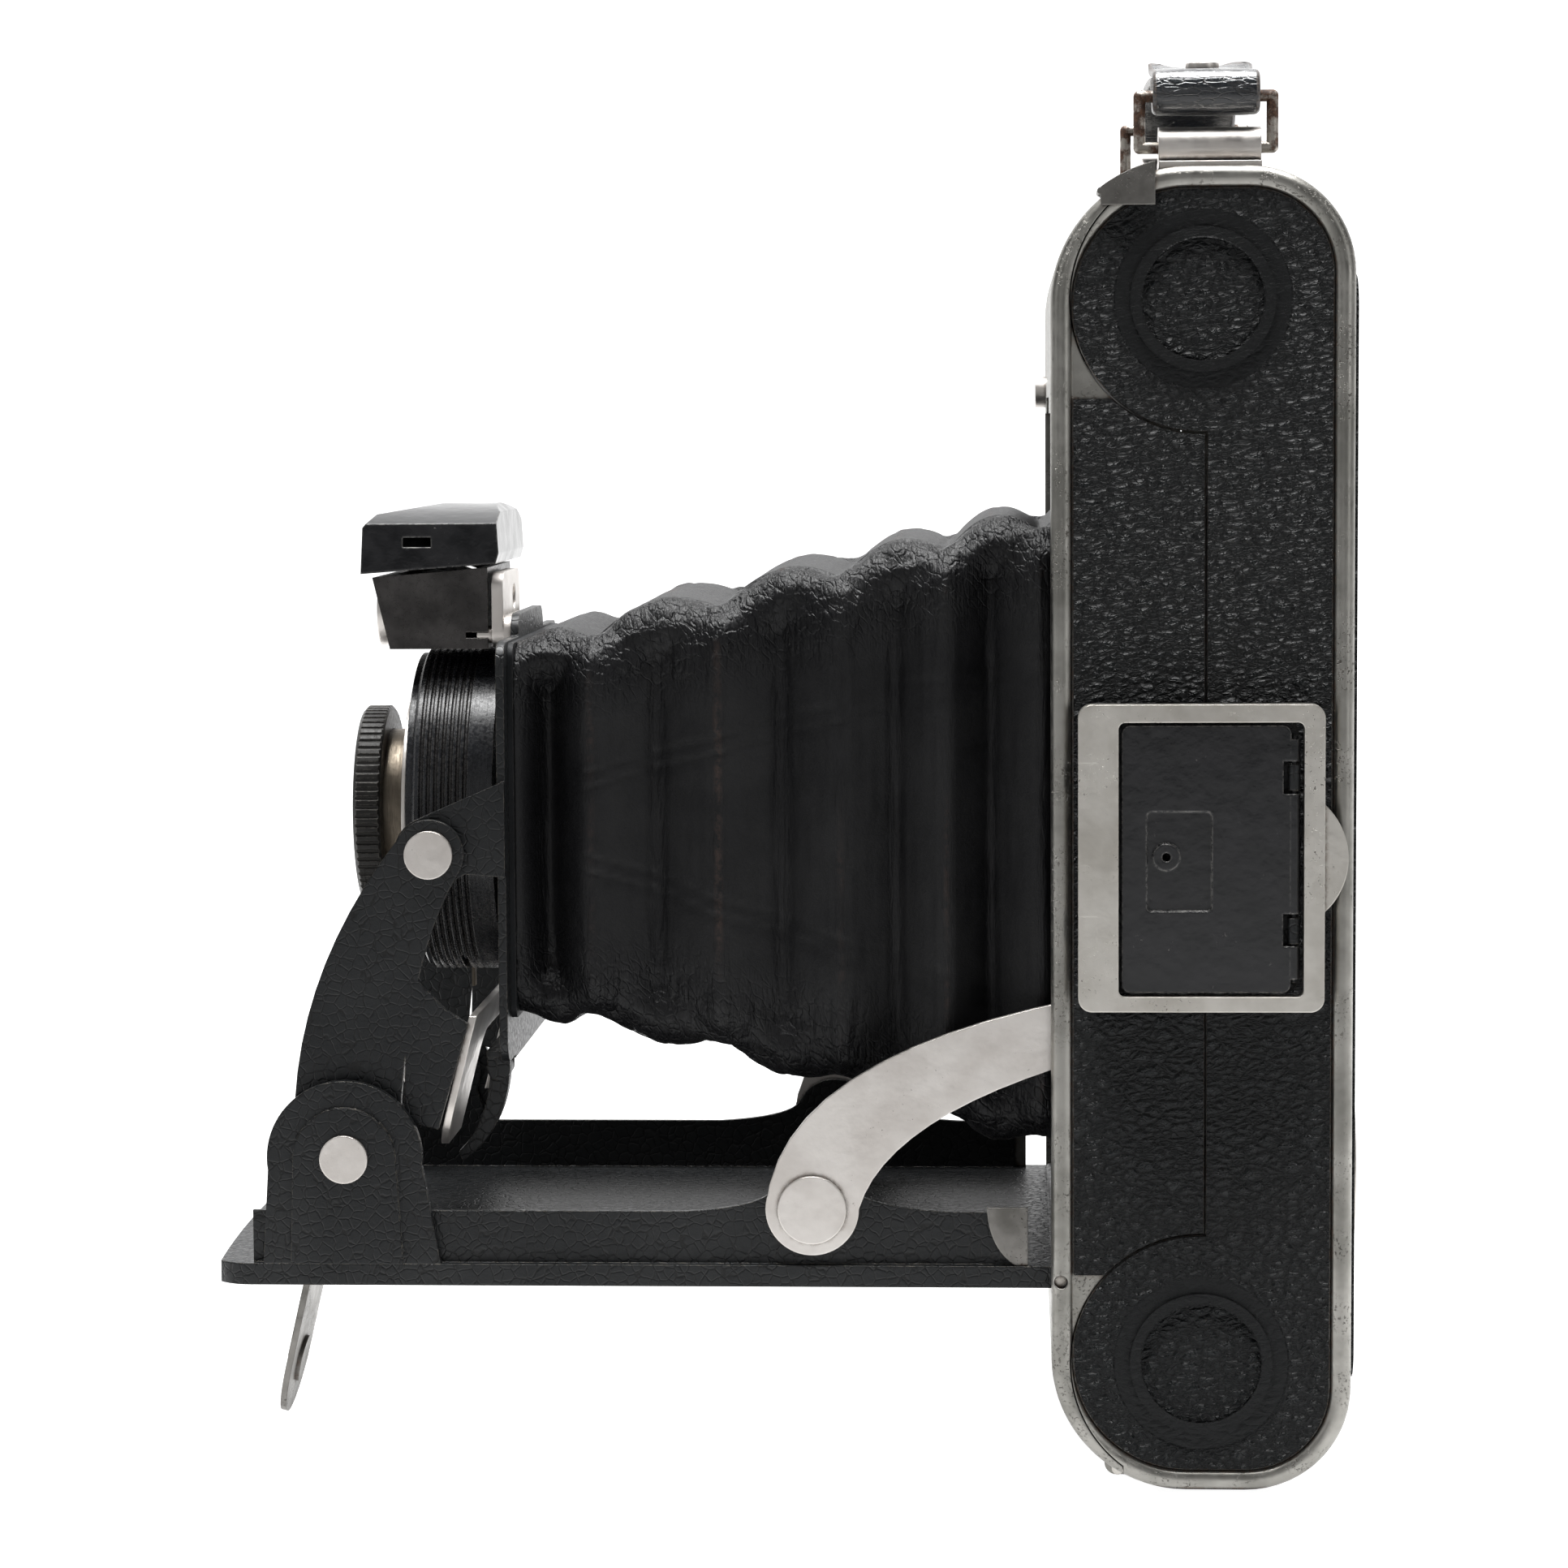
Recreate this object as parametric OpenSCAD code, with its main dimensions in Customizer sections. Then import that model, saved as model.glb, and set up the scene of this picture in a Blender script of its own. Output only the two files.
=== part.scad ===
// Folding roll-film camera, standing upright on its lower end with the bed lowered.
// +X runs from the lens towards the camera back, +Y across the body, +Z up.
// The origin is the middle of the flat lower end of the body.

/* [Body] */
// Height of the standing body
body_l = 156.5; // [150:0.5:165]
// Width of the body across its leather sides
body_w = 76; // [74:0.5:80]
// Thickness of the body from front face to back face
body_t = 35.5; // [34:0.5:38]
// Corner radius of the side profile at the front
front_r = 16; // [14:0.5:17]
// Corner radius of the side profile at the back
rear_r = 12.5; // [10:0.5:14]
// Thickness of the sheet-metal walls
wall = 1.5; // [1.2:0.1:1.8]
// Thickness of the leather covering
leather = 0.5; // [0.4:0.1:0.8]
// Height of the lower spool axis above the lower end
spool_z = 15.4; // [15:0.1:16]
// Radius of the round seam between front shell and back
lobe_r = 15.4; // [15:0.1:16]

/* [Bed] */
// Bed hinge axis, distance in front of the body centre
hinge_x = -16.6; // [-17:0.1:-16]
// Bed hinge axis, height
hinge_z = 25.2; // [25:0.1:26]
// Front edge of the bed at its sides
bed_front = -118; // [-120:0.5:-116]
// Half-width of the bed
bed_half = 34.6; // [34:0.1:34.8]
// Thickness of the bed plate
bed_t = 2.6; // [2:0.1:3]
// Height of the bed's underside
bed_z = 23.8; // [23.6:0.1:24]

/* [Front standard] */
// Height of the lens axis
lens_z = 78.5; // [77:0.5:80]
// Front face of the lens board
board_x = -84.2; // [-86:0.1:-83]
// Radius of the shutter housing
shutter_r = 20.5; // [18:0.5:22]
// Radius of the focusing ring
focus_r = 13; // [12:0.5:14]
// Radius of the free opening through the shutter
light_r = 7.5; // [5:0.5:8]

/* [Fits] */
// Radial clearance of pins and shafts that turn
run = 0.05; // [0.02:0.01:0.08]
// Clear gap between parts that move past each other
gap = 0.3; // [0.2:0.05:0.4]

/* [Hidden] */
$fn = 64;
bead_r = 1.3;
half = body_w / 2 - 0.8;
skin = half + leather;
inner = half - 1;
front_x = -body_t / 2;
back_x = body_t / 2;
top_spool = body_l - spool_z;
seam_x = 0.5;
seam_top = -7;
seam_low = -9.2;
bed_top = bed_z + bed_t;
door_low = hinge_z - 2;
door_high = 128;
door_half = inner - 0.3;
shell_cut = door_half - 0.2;
arm_a = [-102.6, 39.2];
arm_e = [-92.2, 75.7];
arm_in = 31.5;
arm_out = 32.4;
flange_in = 32.7;
flange_out = 33.4;
strut_p = [-46.3, 33.2];
strut_end = [-13.8, 55.1];
strut_in = 33.5;
strut_out = 34.4;
foot_p = [-111, 22.5];
back_p = [-9.8, 1.7];
far_arc = norm([seam_x, spool_z + lobe_r] - back_p);
latch_c = [front_x + front_r, body_l - front_r];
release_p = [-13.6, lens_z - 11.4];
latch_p = [-11.9, 153.65];
latch_y = -(body_w / 2 + 0.6);
catch_p = [board_x - 1.2, 48];
gate_x = 13.6;
film_x = gate_x + 1;
gate_low = 34.3;
gate_high = 122.3;
ring_low = 159;
ring_bar = 165;
button = [25, 130.8];
blade_p = 13.4;
roller_x = 11.2;
roller_z = 28.4;
strap_mid = 0.6;
cover_c = [-16, 36.4];
sight_y = -(body_w / 2 + 0.2);

// ---- shared shapes ----

// A side-view (x, z) outline made solid from y0 to y1.
module yplate(y0, y1) {
    translate([0, y1, 0]) rotate([90, 0, 0]) linear_extrude(y1 - y0) children();
}

// A front-view (y, z) outline made solid from x0 to x1.
module xplate(x0, x1) {
    translate([x0, 0, 0]) rotate([90, 0, 90]) linear_extrude(x1 - x0) children();
}

module ycyl(p, y0, y1, r) {
    translate([p[0], y0, p[1]]) rotate([-90, 0, 0]) cylinder(h = y1 - y0, r = r);
}

module xcyl(y, z, x0, x1, r) {
    translate([x0, y, z]) rotate([0, 90, 0]) cylinder(h = x1 - x0, r = r);
}

module zcyl(x, y, z0, z1, r) {
    translate([x, y, z0]) cylinder(h = z1 - z0, r = r);
}

module block(low, high) {
    translate(low) cube(high - low);
}

module both_sides() {
    children();
    mirror([0, 1, 0]) children();
}

// A body of revolution about the lens axis; points are (radius, x).
module turned(points) {
    translate([0, 0, lens_z]) rotate([0, 90, 0]) rotate_extrude($fn = 96) polygon(points);
}

// Points of a smooth curve from a to c that bends towards b.
function bend(a, b, c, n = 12) =
    [for (i = [0:n]) let (t = i / n) (1 - t) * (1 - t) * a + 2 * t * (1 - t) * b + t * t * c];

module rounded(low, high, r) {
    size = high - low;
    translate([low[0] + r, low[1]]) square([size[0] - 2 * r, size[1]]);
    translate([low[0], low[1] + r]) square([size[0], size[1] - 2 * r]);
    for (x = [low[0] + r, high[0] - r], y = [low[1] + r, high[1] - r])
        translate([x, y]) circle(r = r);
}

// Side profile of the body, drawn in by inset all round.
module profile(inset = 0) {
    for (z = [front_r, body_l - front_r]) {
        translate([front_x + front_r, z]) circle(r = front_r - inset);
    }
    for (z = [rear_r, body_l - rear_r]) {
        translate([back_x - rear_r, z]) circle(r = rear_r - inset);
    }
    translate([front_x + inset, front_r]) square([body_t / 2, body_l - 2 * front_r]);
    translate([-1, rear_r]) square([back_x + 1 - inset, body_l - 2 * rear_r]);
    translate([front_x + front_r, inset])
        square([body_t - front_r - rear_r, body_l - 2 * inset]);
}

// The part of the near side wall that swings away with the back.
module back_area(grow = 0) {
    for (z = [spool_z, top_spool]) translate([0, z]) circle(r = lobe_r + grow);
    translate([seam_x - grow, spool_z]) square([body_t, body_l - 2 * spool_z]);
    end_area(grow);
}

// The same between the side walls, where only the end walls have a seam.
module end_area(grow = 0) {
    translate([seam_low - grow, -1]) square([body_t, spool_z]);
    translate([seam_top - grow, top_spool + 1]) square([body_t, spool_z]);
    translate([seam_x - grow, -1]) square([body_t, body_l + 2]);
}

// On the far side only the stretch between the spools belongs to the back. Its lower
// edge is an arc about the back's hinge, so that it slides clear as the back opens.
module far_area(grow = 0) {
    difference() {
        translate([seam_x - grow, spool_z - 8])
            square([body_t, top_spool - lobe_r + grow - spool_z + 8]);
        translate(back_p) circle(r = far_arc - grow);
    }
}

// Everything outside an area of the side profile.
module rest_of() {
    difference() {
        translate([-body_l, -body_l]) square(3 * body_l);
        children();
    }
}

// Round bead along the edge of the side profile.
module bead_corner(p, r, start) {
    translate([p[0], 0, p[1]]) rotate([90, 0, 0]) rotate([0, 0, start])
        rotate_extrude(angle = 90) translate([r - bead_r, 0]) circle(r = bead_r);
}

module bead() {
    edge = body_w / 2 - bead_r;
    both_sides() translate([0, -edge, 0]) {
        bead_corner([front_x + front_r, front_r], front_r, 180);
        bead_corner([front_x + front_r, body_l - front_r], front_r, 90);
        bead_corner([back_x - rear_r, rear_r], rear_r, 270);
        bead_corner([back_x - rear_r, body_l - rear_r], rear_r, 0);
        zcyl(front_x + bead_r, 0, front_r, body_l - front_r, bead_r);
        zcyl(back_x - bead_r, 0, rear_r, body_l - rear_r, bead_r);
        for (z = [bead_r, body_l - bead_r])
            xcyl(0, z, front_x + front_r, back_x - rear_r, bead_r);
    }
}

// Closed body shape with rounded edges, before it is hollowed and split.
module body_form() {
    edge = body_w / 2 - bead_r;
    yplate(-edge, edge) profile();
    yplate(-half, half) profile(bead_r);
    bead();
}

// ---- body ----

module shell_form() {
    difference() {
        union() {
            difference() {
                body_form();
                yplate(-body_w, 0.2 - inner) back_area(gap / 2);
                yplate(-inner, inner) end_area(gap / 2);
                yplate(inner - 1, body_w) far_area(gap / 2);
                yplate(-inner, inner) profile(wall);
                block([front_x - 1, -door_half, door_low], [0, door_half, door_high]);
                block([front_x - 1, -16, door_low], [0, 16, 130]);
                for (y = [-31, 9.7]) {
                    ycyl(back_p, y, y + 21.3, 1.8);
                    block([back_p[0], y, -1], [seam_low + 1, y + 21.3, back_p[1] + 0.9]);
                }
            }
            ycyl(back_p, -9.5, 9.5, 1.5);
        }
        ycyl([hinge_x, hinge_z], -half - 1, half + 1, 0.8);
        ycyl(back_p, -34, 34, 0.7);
        for (z = [spool_z, top_spool]) ycyl([0, z], inner - 1, half + 1, 3 + run);
        ycyl([-8, body_l / 2], inner - 1, half + 1, 5);
        xcyl(button[0], button[1], front_x - 1, front_x + 3, 2 + run);
    }
}

// The shell is four pressed pieces: a plate on each side and a wrapped strip at each end.
module shell_piece(low, high) {
    color("silver") intersection() {
        shell_form();
        block(low, high);
    }
}

module shell_near() {
    shell_piece([-body_t, -body_w, -1], [body_t, -shell_cut, body_l + 1]);
}

module shell_far() {
    shell_piece([-body_t, shell_cut, -1], [body_t, body_w, body_l + 1]);
}

module shell_low() {
    shell_piece([-body_t, -shell_cut, -1], [body_t, shell_cut, body_l / 2]);
}

module shell_top() {
    shell_piece([-body_t, -shell_cut, body_l / 2], [body_t, shell_cut, body_l + 1]);
}

// Leather on both sides of the front shell and on its closed far lobes.
module front_leather() {
    color("#1b1d20") {
        yplate(-skin, -half) intersection() {
            difference() {
                profile(2.7);
                back_area(0.3);
            }
            translate([-20, 26]) square([40, 103.6]);
        }
        yplate(half, skin) difference() {
            profile(2.7);
            far_area(0.3);
            for (z = [spool_z, top_spool]) translate([0, z]) circle(r = 6.5);
            translate([-8, body_l / 2]) circle(r = 6.9);
        }
    }
}

module partition() {
    difference() {
        circle(r = 14.8);
        circle(r = 14);
        translate([-20, -20]) square([40, 26]);
    }
    translate([-16.2, 6.3]) square([3.2, 0.8]);
}

// Film gate, the curved walls of the two spool chambers and the near spool pins.
module film_frame() {
    color("#2a2b2d") {
        difference() {
            block([gate_x, -33, 21], [film_x, 33, body_l - 21]);
            block([gate_x - 1, -28.5, gate_low], [film_x + 1, 28.5, gate_high]);
            ycyl([0, spool_z], -40, 40, 14.4);
            ycyl([0, top_spool], -40, 40, 14.4);
        }
        for (flip = [0, 1]) translate([0, 0, flip * body_l]) mirror([0, 0, flip]) {
            yplate(-35.9, 35.9) translate([0, spool_z]) partition();
            yplate(-35.9, -34.9) translate([0, spool_z]) circle(r = 13.6);
            ycyl([0, spool_z], -34.9, -30.9, 2.2);
            both_sides() block([roller_x - 1.4, -33, roller_z - 1.4],
                [gate_x, -32.5, roller_z + 1.4]);
            ycyl([roller_x, roller_z], -32.5, 32.5, 0.45);
        }
    }
}

module bellows_rear_frame() {
    color("#3a3b3d") difference() {
        block([12.7, -31, 32.4], [gate_x, 31, 124.2]);
        block([12, -28.5, gate_low], [14, 28.5, gate_high]);
    }
}

module bed_hinge_pin() {
    color("silver") ycyl([hinge_x, hinge_z], -half, half, 0.8);
}

module back_hinge_pin() {
    color("silver") ycyl(back_p, -34, 34, 0.7);
}

// Tripod thread in the far side wall.
module tripod_bush() {
    color("silver") difference() {
        union() {
            ycyl([-8, body_l / 2], 34.9, body_w / 2 + 0.6, 5);
            ycyl([-8, body_l / 2], half, body_w / 2 + 0.8, 6.6);
        }
        ycyl([-8, body_l / 2], 30, 42, 2.6);
    }
}

module roller(z) {
    color("silver") difference() {
        union() {
            ycyl([roller_x, z], -32.2, 32.2, 1.2);
            for (y = [-32.2, 31.6]) ycyl([roller_x, z], y, y + 0.6, 1.6);
        }
        ycyl([roller_x, z], -40, 40, 0.45 + run);
    }
}

module roller_top() { roller(body_l - roller_z); }

module roller_bottom() { roller(roller_z); }

// Wooden core with two metal flanges, slotted at the far end for the key.
module spool(z) {
    color("#7a2222") difference() {
        union() {
            ycyl([0, z], -31.2, 31.2, 4);
            for (y = [-32, 31]) ycyl([0, z], y, y + 1, 12.5);
        }
        ycyl([0, z], -33, -27, 2.2 + run);
        ycyl([0, z], 27, 33, 2.2 + run);
        block([-3.4, 29, z - 0.7], [3.4, 33, z + 0.7]);
    }
}

module take_up_spool() { spool(top_spool); }

module supply_spool() { spool(spool_z); }

// Shaft of the winding key: collar outside, blade in the spool slot inside.
module winding_shaft() {
    color("silver") {
        ycyl([0, top_spool], 32.6, 38.2, 3);
        ycyl([0, top_spool], 38.2, 39.6, 6);
        block([-3.1, 29.4, top_spool - 0.5], [3.1, 32.6, top_spool + 0.5]);
        difference() {
            ycyl([0, top_spool], 39.6, 42.2, 2);
            block([-0.8, 39.5, top_spool - 3], [0.8, 42.3, top_spool + 3]);
            xcyl(41, top_spool, -3, 3, 0.5);
        }
    }
}

// Folding wing of the key, lying flat on the collar.
module winding_key() {
    color("silver") {
        difference() {
            translate([-0.7, 0, 0]) xplate(0, 1.4) {
                translate([41, top_spool]) circle(r = 1.1);
                translate([40.2, top_spool]) square([1.6, 2.2]);
            }
            xcyl(41, top_spool, -3, 3, 0.5 + run);
        }
        yplate(40.2, 41.8) rounded([-6, top_spool + 2.2], [6, top_spool + 11.2], 3.5);
    }
}

// Pull knob that frees the supply spool.
module supply_pin() {
    color("silver") ycyl([0, spool_z], 29.4, 32.6, 2);
}

module supply_knob() {
    color("silver") {
        ycyl([0, spool_z], 32.6, 38.3, 3);
        difference() {
            ycyl([0, spool_z], 38.3, 41.3, 6);
            for (a = [0:15:345])
                translate([6.3 * cos(a), 38, spool_z + 6.3 * sin(a)])
                    rotate([-90, 0, 0]) cylinder(h = 5, r = 0.5, $fn = 16);
        }
    }
}

module door_button() {
    color("silver") {
        xcyl(button[0], button[1], front_x - 1.4, front_x + 2.4, 2);
        xcyl(button[0], button[1], front_x + 2.4, front_x + 3, 2.6);
    }
}

// ---- back ----

module back() {
    color("silver") difference() {
        union() {
            difference() {
                body_form();
                yplate(-body_w, -inner) rest_of() back_area();
                yplate(-inner, inner - 0.2) rest_of() end_area();
                yplate(inner - 0.2, body_w) rest_of() far_area();
                yplate(-inner, inner) profile(wall);
            }
            for (y = [-30.7, 10]) {
                ycyl(back_p, y, y + 20.7, 1.5);
                yplate(y, y + 20.7) polygon([[back_p[0], 0.25], [-6.4, 0.1], [-6.4, 1.7],
                    [back_p[0], 1.7]]);
            }
        }
        ycyl(back_p, -40, 40, 0.7 + run);
        ycyl(back_p, -9.8, 9.8, 1.8);
        xcyl(cover_c[0], cover_c[1] + 6.2, back_x - 3, back_x + 1, 3.6);
        xcyl(cover_c[0], cover_c[1], back_x - 3, back_x + 1, 1.2);
    }
}

// Leather of the back, with a raised ring round the near end of each spool.
module back_leather() {
    color("#1b1d20") {
        yplate(-skin, -half) intersection() {
            profile(2.7);
            back_area(-0.1);
        }
        for (z = [spool_z, top_spool]) difference() {
            ycyl([0, z], -skin - 0.35, -skin, 8.45);
            ycyl([0, z], -skin - 1, -skin + 1, 7.1);
        }
        yplate(half, skin) intersection() {
            profile(2.7);
            far_area(-0.1);
        }
        difference() {
            xplate(back_x, back_x + leather)
                rounded([-half + 2.5, rear_r], [half - 2.5, body_l - rear_r], 4);
            xcyl(cover_c[0], cover_c[1], back_x - 1, back_x + 2, 12.8);
        }
    }
}

// Pressure plate with its two leaf springs.
module pressure_plate() {
    color("#303133") {
        difference() {
            block([film_x + 0.15, -31, 33], [film_x + 0.7, 31, body_l - 33]);
            xcyl(cover_c[0], cover_c[1] + 6.2, film_x, back_x, 4.4);
        }
        for (z = [60, body_l - 60]) {
            block([film_x + 0.7, -12, z - 3], [film_x + 1.2, 12, z + 3]);
            block([film_x + 1.2, -4, z - 3], [back_x - wall, 4, z + 3]);
        }
    }
}

module red_window() {
    color("#8a1010") xcyl(cover_c[0], cover_c[1] + 6.2, back_x - wall, back_x - 0.3, 3.6);
}

// Disc over the red window; its hole comes over the window when it is turned.
module window_cover() {
    color("silver") {
        difference() {
            xcyl(cover_c[0], cover_c[1], back_x + 0.1, back_x + 1.2, 12.6);
            xcyl(cover_c[0] + 6.2, cover_c[1], back_x, back_x + 3, 3.4);
        }
        xcyl(cover_c[0], cover_c[1], back_x + 1.2, back_x + 1.6, 3);
        xcyl(cover_c[0], cover_c[1], back_x - wall, back_x + 0.1, 1.2 - run);
    }
}

// ---- carrying strap ----

module strap_clips() {
    color("silver") both_sides() difference() {
        union() {
            block([strap_mid - 5.6, -33.5, body_l], [strap_mid + 6.4, -26.5, body_l + 0.8]);
            xcyl(-30, ring_low, strap_mid - 5.6, strap_mid + 6.4, 2.4);
        }
        xcyl(-30, ring_low, -20, 20, 0.8);
    }
}

// Square wire loops held in the clips.
module strap_rings() {
    wire = 0.7;
    color("#6b5a4a") both_sides() {
        for (z = [ring_low, ring_bar]) xcyl(-30, z, strap_mid - 7.8, strap_mid + 7.8, wire);
        for (x = [strap_mid - 7.8, strap_mid + 7.8]) {
            zcyl(x, -30, ring_low, ring_bar, wire);
            for (z = [ring_low, ring_bar]) translate([x, -30, z]) sphere(r = wire);
        }
    }
}

module strap() {
    rise = 1.8;
    low = ring_bar + 2;
    radius = (30 * 30 + rise * rise) / (2 * rise);
    color("#1d1815") xplate(strap_mid - 6.3, strap_mid + 6.3) {
        difference() {
            translate([0, low + rise - radius]) circle(r = radius + 1.1, $fn = 360);
            translate([0, low + rise - radius]) circle(r = radius - 1.1, $fn = 360);
            translate([-300, low - 503]) square([600, 500]);
            for (side = [-1, 1]) translate([side * 180 - 150, low - 10]) square([300, 40]);
        }
        for (side = [-1, 1]) translate([side * 30, ring_bar]) difference() {
            circle(r = 3.2);
            circle(r = 1.1);
        }
    }
}

module strap_studs() {
    color("silver") both_sides() zcyl(strap_mid, -20, ring_bar + 3.9, ring_bar + 4.6, 2);
}

// ---- bed ----

module bed_outline() {
    bow = 1.2;
    reach = (bed_half * bed_half + bow * bow) / (2 * bow);
    intersection() {
        union() {
            rounded([bed_front - bow, -bed_half], [bed_front + 30, bed_half], 5);
            translate([bed_front + 20, -bed_half])
                square([hinge_x - bed_front - 20, 2 * bed_half]);
        }
        translate([bed_front - bow + reach, 0]) circle(r = reach, $fn = 360);
    }
}

// Raised side flange with lobes that carry the arm pivot and the strut pivot.
module bed_flange() {
    translate([-114, bed_top - 0.5]) square([92, 32.7 - bed_top + 0.5]);
    translate(arm_a) circle(r = 8);
    polygon([[-112, bed_top], [arm_a[0] - 7.5, arm_a[1] - 2], [arm_a[0] + 7.5, arm_a[1] - 2],
        [-92, bed_top]]);
    translate(strut_p) circle(r = 5.2);
    polygon(concat(bend([-64, 32.6], [-52, 33], [strut_p[0] - 4.6, strut_p[1] + 2.4]),
        bend([strut_p[0] + 4.6, strut_p[1] + 2.4], [-40, 33], [-27, 32.6])));
}

module bed() {
    color("#222426") difference() {
        union() {
            translate([0, 0, bed_z]) linear_extrude(bed_t) bed_outline();
            ycyl([hinge_x, hinge_z], -bed_half, bed_half, 1.6);
            both_sides() yplate(-flange_out, -flange_in) difference() {
                bed_flange();
                translate([-150, bed_top - 30]) square([200, 30]);
            }
        }
        ycyl([hinge_x, hinge_z], -40, 40, 0.8 + run);
        both_sides() ycyl(arm_a, -40, -30, 1.5);
        both_sides() ycyl(strut_p, -40, -30, 1.9);
    }
}

module bracket_face(half_w, r, base) {
    translate(arm_a) circle(r = r);
    polygon([[arm_a[0] - base[0], bed_top], [arm_a[0] - half_w, arm_a[1]],
        [arm_a[0] + half_w, arm_a[1]], [arm_a[0] + base[1], bed_top]]);
}

// Riveted ears that hold the lower ends of the curved arms.
module bed_brackets() {
    color("#222426") both_sides() difference() {
        union() {
            yplate(-bed_half, -flange_out) bracket_face(9.2, 9.4, [10, 11.5]);
            yplate(-35, -bed_half) bracket_face(6.2, 6.2, [6.6, 7]);
        }
        ycyl(arm_a, -40, -30, 1.5);
    }
}

// Steel wings beside the hinge that end the bed's travel.
module bed_stops() {
    color("silver") both_sides() yplate(-34.2, -flange_out) difference() {
        polygon(concat([[-20.5, bed_top], [-20.5, 33.4], [-25.4, 33.4]],
            bend([-25.4, 33.4], [-25.2, 28.5], [-22, bed_top])));
    }
}

module rivet(p, y0, y1, r, head_r, head_t) {
    ycyl(p, y0, y1, r);
    ycyl(p, y0 - head_t, y0, head_r);
}

module arm_pins() {
    color("silver") both_sides() {
        rivet(arm_a, -35, -31.3, 1.5, 2.9, 0.5);
        ycyl(arm_a, -31.3, -30.9, 2.3);
    }
}

module strut_rivets() {
    color("silver") both_sides() {
        rivet(strut_p, -34.45, -32.5, 1.9, 4.1, 0.8);
    }
}

// Lugs and pin of the fold-out foot, under the bed.
module foot_bracket() {
    color("silver") {
        both_sides() yplate(-9.2, -8) {
            translate(foot_p) circle(r = 1.3);
            translate([foot_p[0] - 1.3, foot_p[1]]) square([2.6, bed_z - foot_p[1]]);
        }
        ycyl(foot_p, -9.2, 9.2, 0.6);
    }
}

module foot() {
    tip = [-116.1, 0.4];
    lean = atan2(foot_p[0] - tip[0], foot_p[1] - tip[1]);
    length = norm(foot_p - tip);
    color("silver") difference() {
        union() {
            ycyl(foot_p, -7.7, 7.7, 1.1);
            translate([foot_p[0], 0, foot_p[1]]) rotate([0, lean, 0]) {
                translate([-0.4, 0, -length + 7.5]) rotate([90, 0, 90]) linear_extrude(0.8)
                    union() {
                        translate([-7.5, 0]) square([15, length - 7.5]);
                        circle(r = 7.5);
                    }
                translate([-0.9, 0, -length + 7]) rotate([0, 90, 0]) cylinder(h = 1.8, r = 3);
                for (y = [-4, 4]) translate([-0.8, y - 0.5, -length + 8])
                    cube([1.2, 1, length - 10]);
            }
        }
        ycyl(foot_p, -20, 20, 0.6 + run);
        block([-130, -20, -5], [-100, 20, 0]);
    }
}

// ---- folding arms and struts ----

module arm_outline() {
    translate(arm_a) circle(r = 6.3);
    translate(arm_e) circle(r = 4.2);
    polygon(concat(bend([-108.9, 39.2], [-110, 60], [-95.6, 78]),
        bend([-88.6, 73.6], [-95.6, 62], [-96.3, 39.2])));
    polygon([[-95.6, 43.5], [-91.5, 42.4], [-87.7, 55.2], [-90.5, 57], [-95, 62]]);
}

// Two curved arms that swing the lens board out.
module arms() {
    color("#222426") both_sides() yplate(-arm_out, -arm_in) difference() {
        arm_outline();
        translate(arm_a) circle(r = 1.5 + run);
        translate(arm_e) circle(r = 1.5);
    }
}

// Plate that joins the arms, open in the middle for the folded finder.
module cross_plate() {
    lean_low = [-91.8, 39.8];
    lean_high = [-87.7, 56];
    color("silver") intersection() {
        yplate(-arm_in, arm_in) polygon([lean_low, lean_low + [0.9, 0], lean_high + [0.9, 0],
            lean_high]);
        xplate(-95, -80) difference() {
            rounded([-arm_in, 39.6], [arm_in, 60], 6);
            rounded([-15.5, 30], [15.5, 52], 3);
        }
    }
}

module board_pins() {
    color("silver") both_sides() {
        rivet(arm_e, -arm_out, -29.5, 1.5, 2.9, 0.8);
    }
}

// Banana-shaped side struts that brace the bed against the body.
module side_struts() {
    r = 3.6;
    color("silver") both_sides() yplate(-strut_out, -strut_in) difference() {
        union() {
            translate(strut_p) circle(r = 5.6);
            translate(strut_end) circle(r = r);
            polygon(concat(bend(strut_p + [-5.6, 0], [-50.3, 51.5], strut_end + [-0.2, r]),
                bend(strut_end + [0.6, -r], [-37.3, 44.5], strut_p + [5.6, 0])));
        }
        translate(strut_p) circle(r = 1.9 + run);
    }
}

// ---- front standard ----

module board_outline() {
    rounded([-30, 50], [30, 101], 3);
    rounded([-14, 90], [14, 103.7], 3);
}

module lens_board() {
    color("#222426") difference() {
        union() {
            xplate(board_x, board_x + 1) board_outline();
            both_sides() yplate(-31, -30) {
                translate(arm_e) circle(r = 4.4);
                polygon([[-93.6, 79.9], [board_x + 1, 84.4], [board_x + 1, 72.8], [-88, 73.2],
                    [-91, 71.6]]);
            }
            block([board_x - 2.6, -22, 49.6], [board_x + 1, 22, 50.4]);
            xcyl(0, lens_z, board_x - 1.8, board_x, 15);
            for (y = [-21.3, -17.2]) yplate(y, y + 1) {
                translate(catch_p) circle(r = 1.4);
                translate([catch_p[0] - 1.4, catch_p[1]]) square([2.8, 1.8]);
            }
            ycyl(catch_p, -21.3, -16.2, 0.5);
        }
        xcyl(0, lens_z, board_x - 5, board_x + 5, 11);
        both_sides() ycyl(arm_e, -40, -20, 1.5 + run);
    }
}

module bellows_front_frame() {
    color("#3a3b3d") difference() {
        xplate(board_x + 1, board_x + 1.7) rounded([-26.6, 55], [26.6, 100.7], 2);
        xplate(board_x, board_x + 4) rounded([-22, 59], [22, 97], 2);
    }
}

disc_x = board_x - 7;

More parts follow.
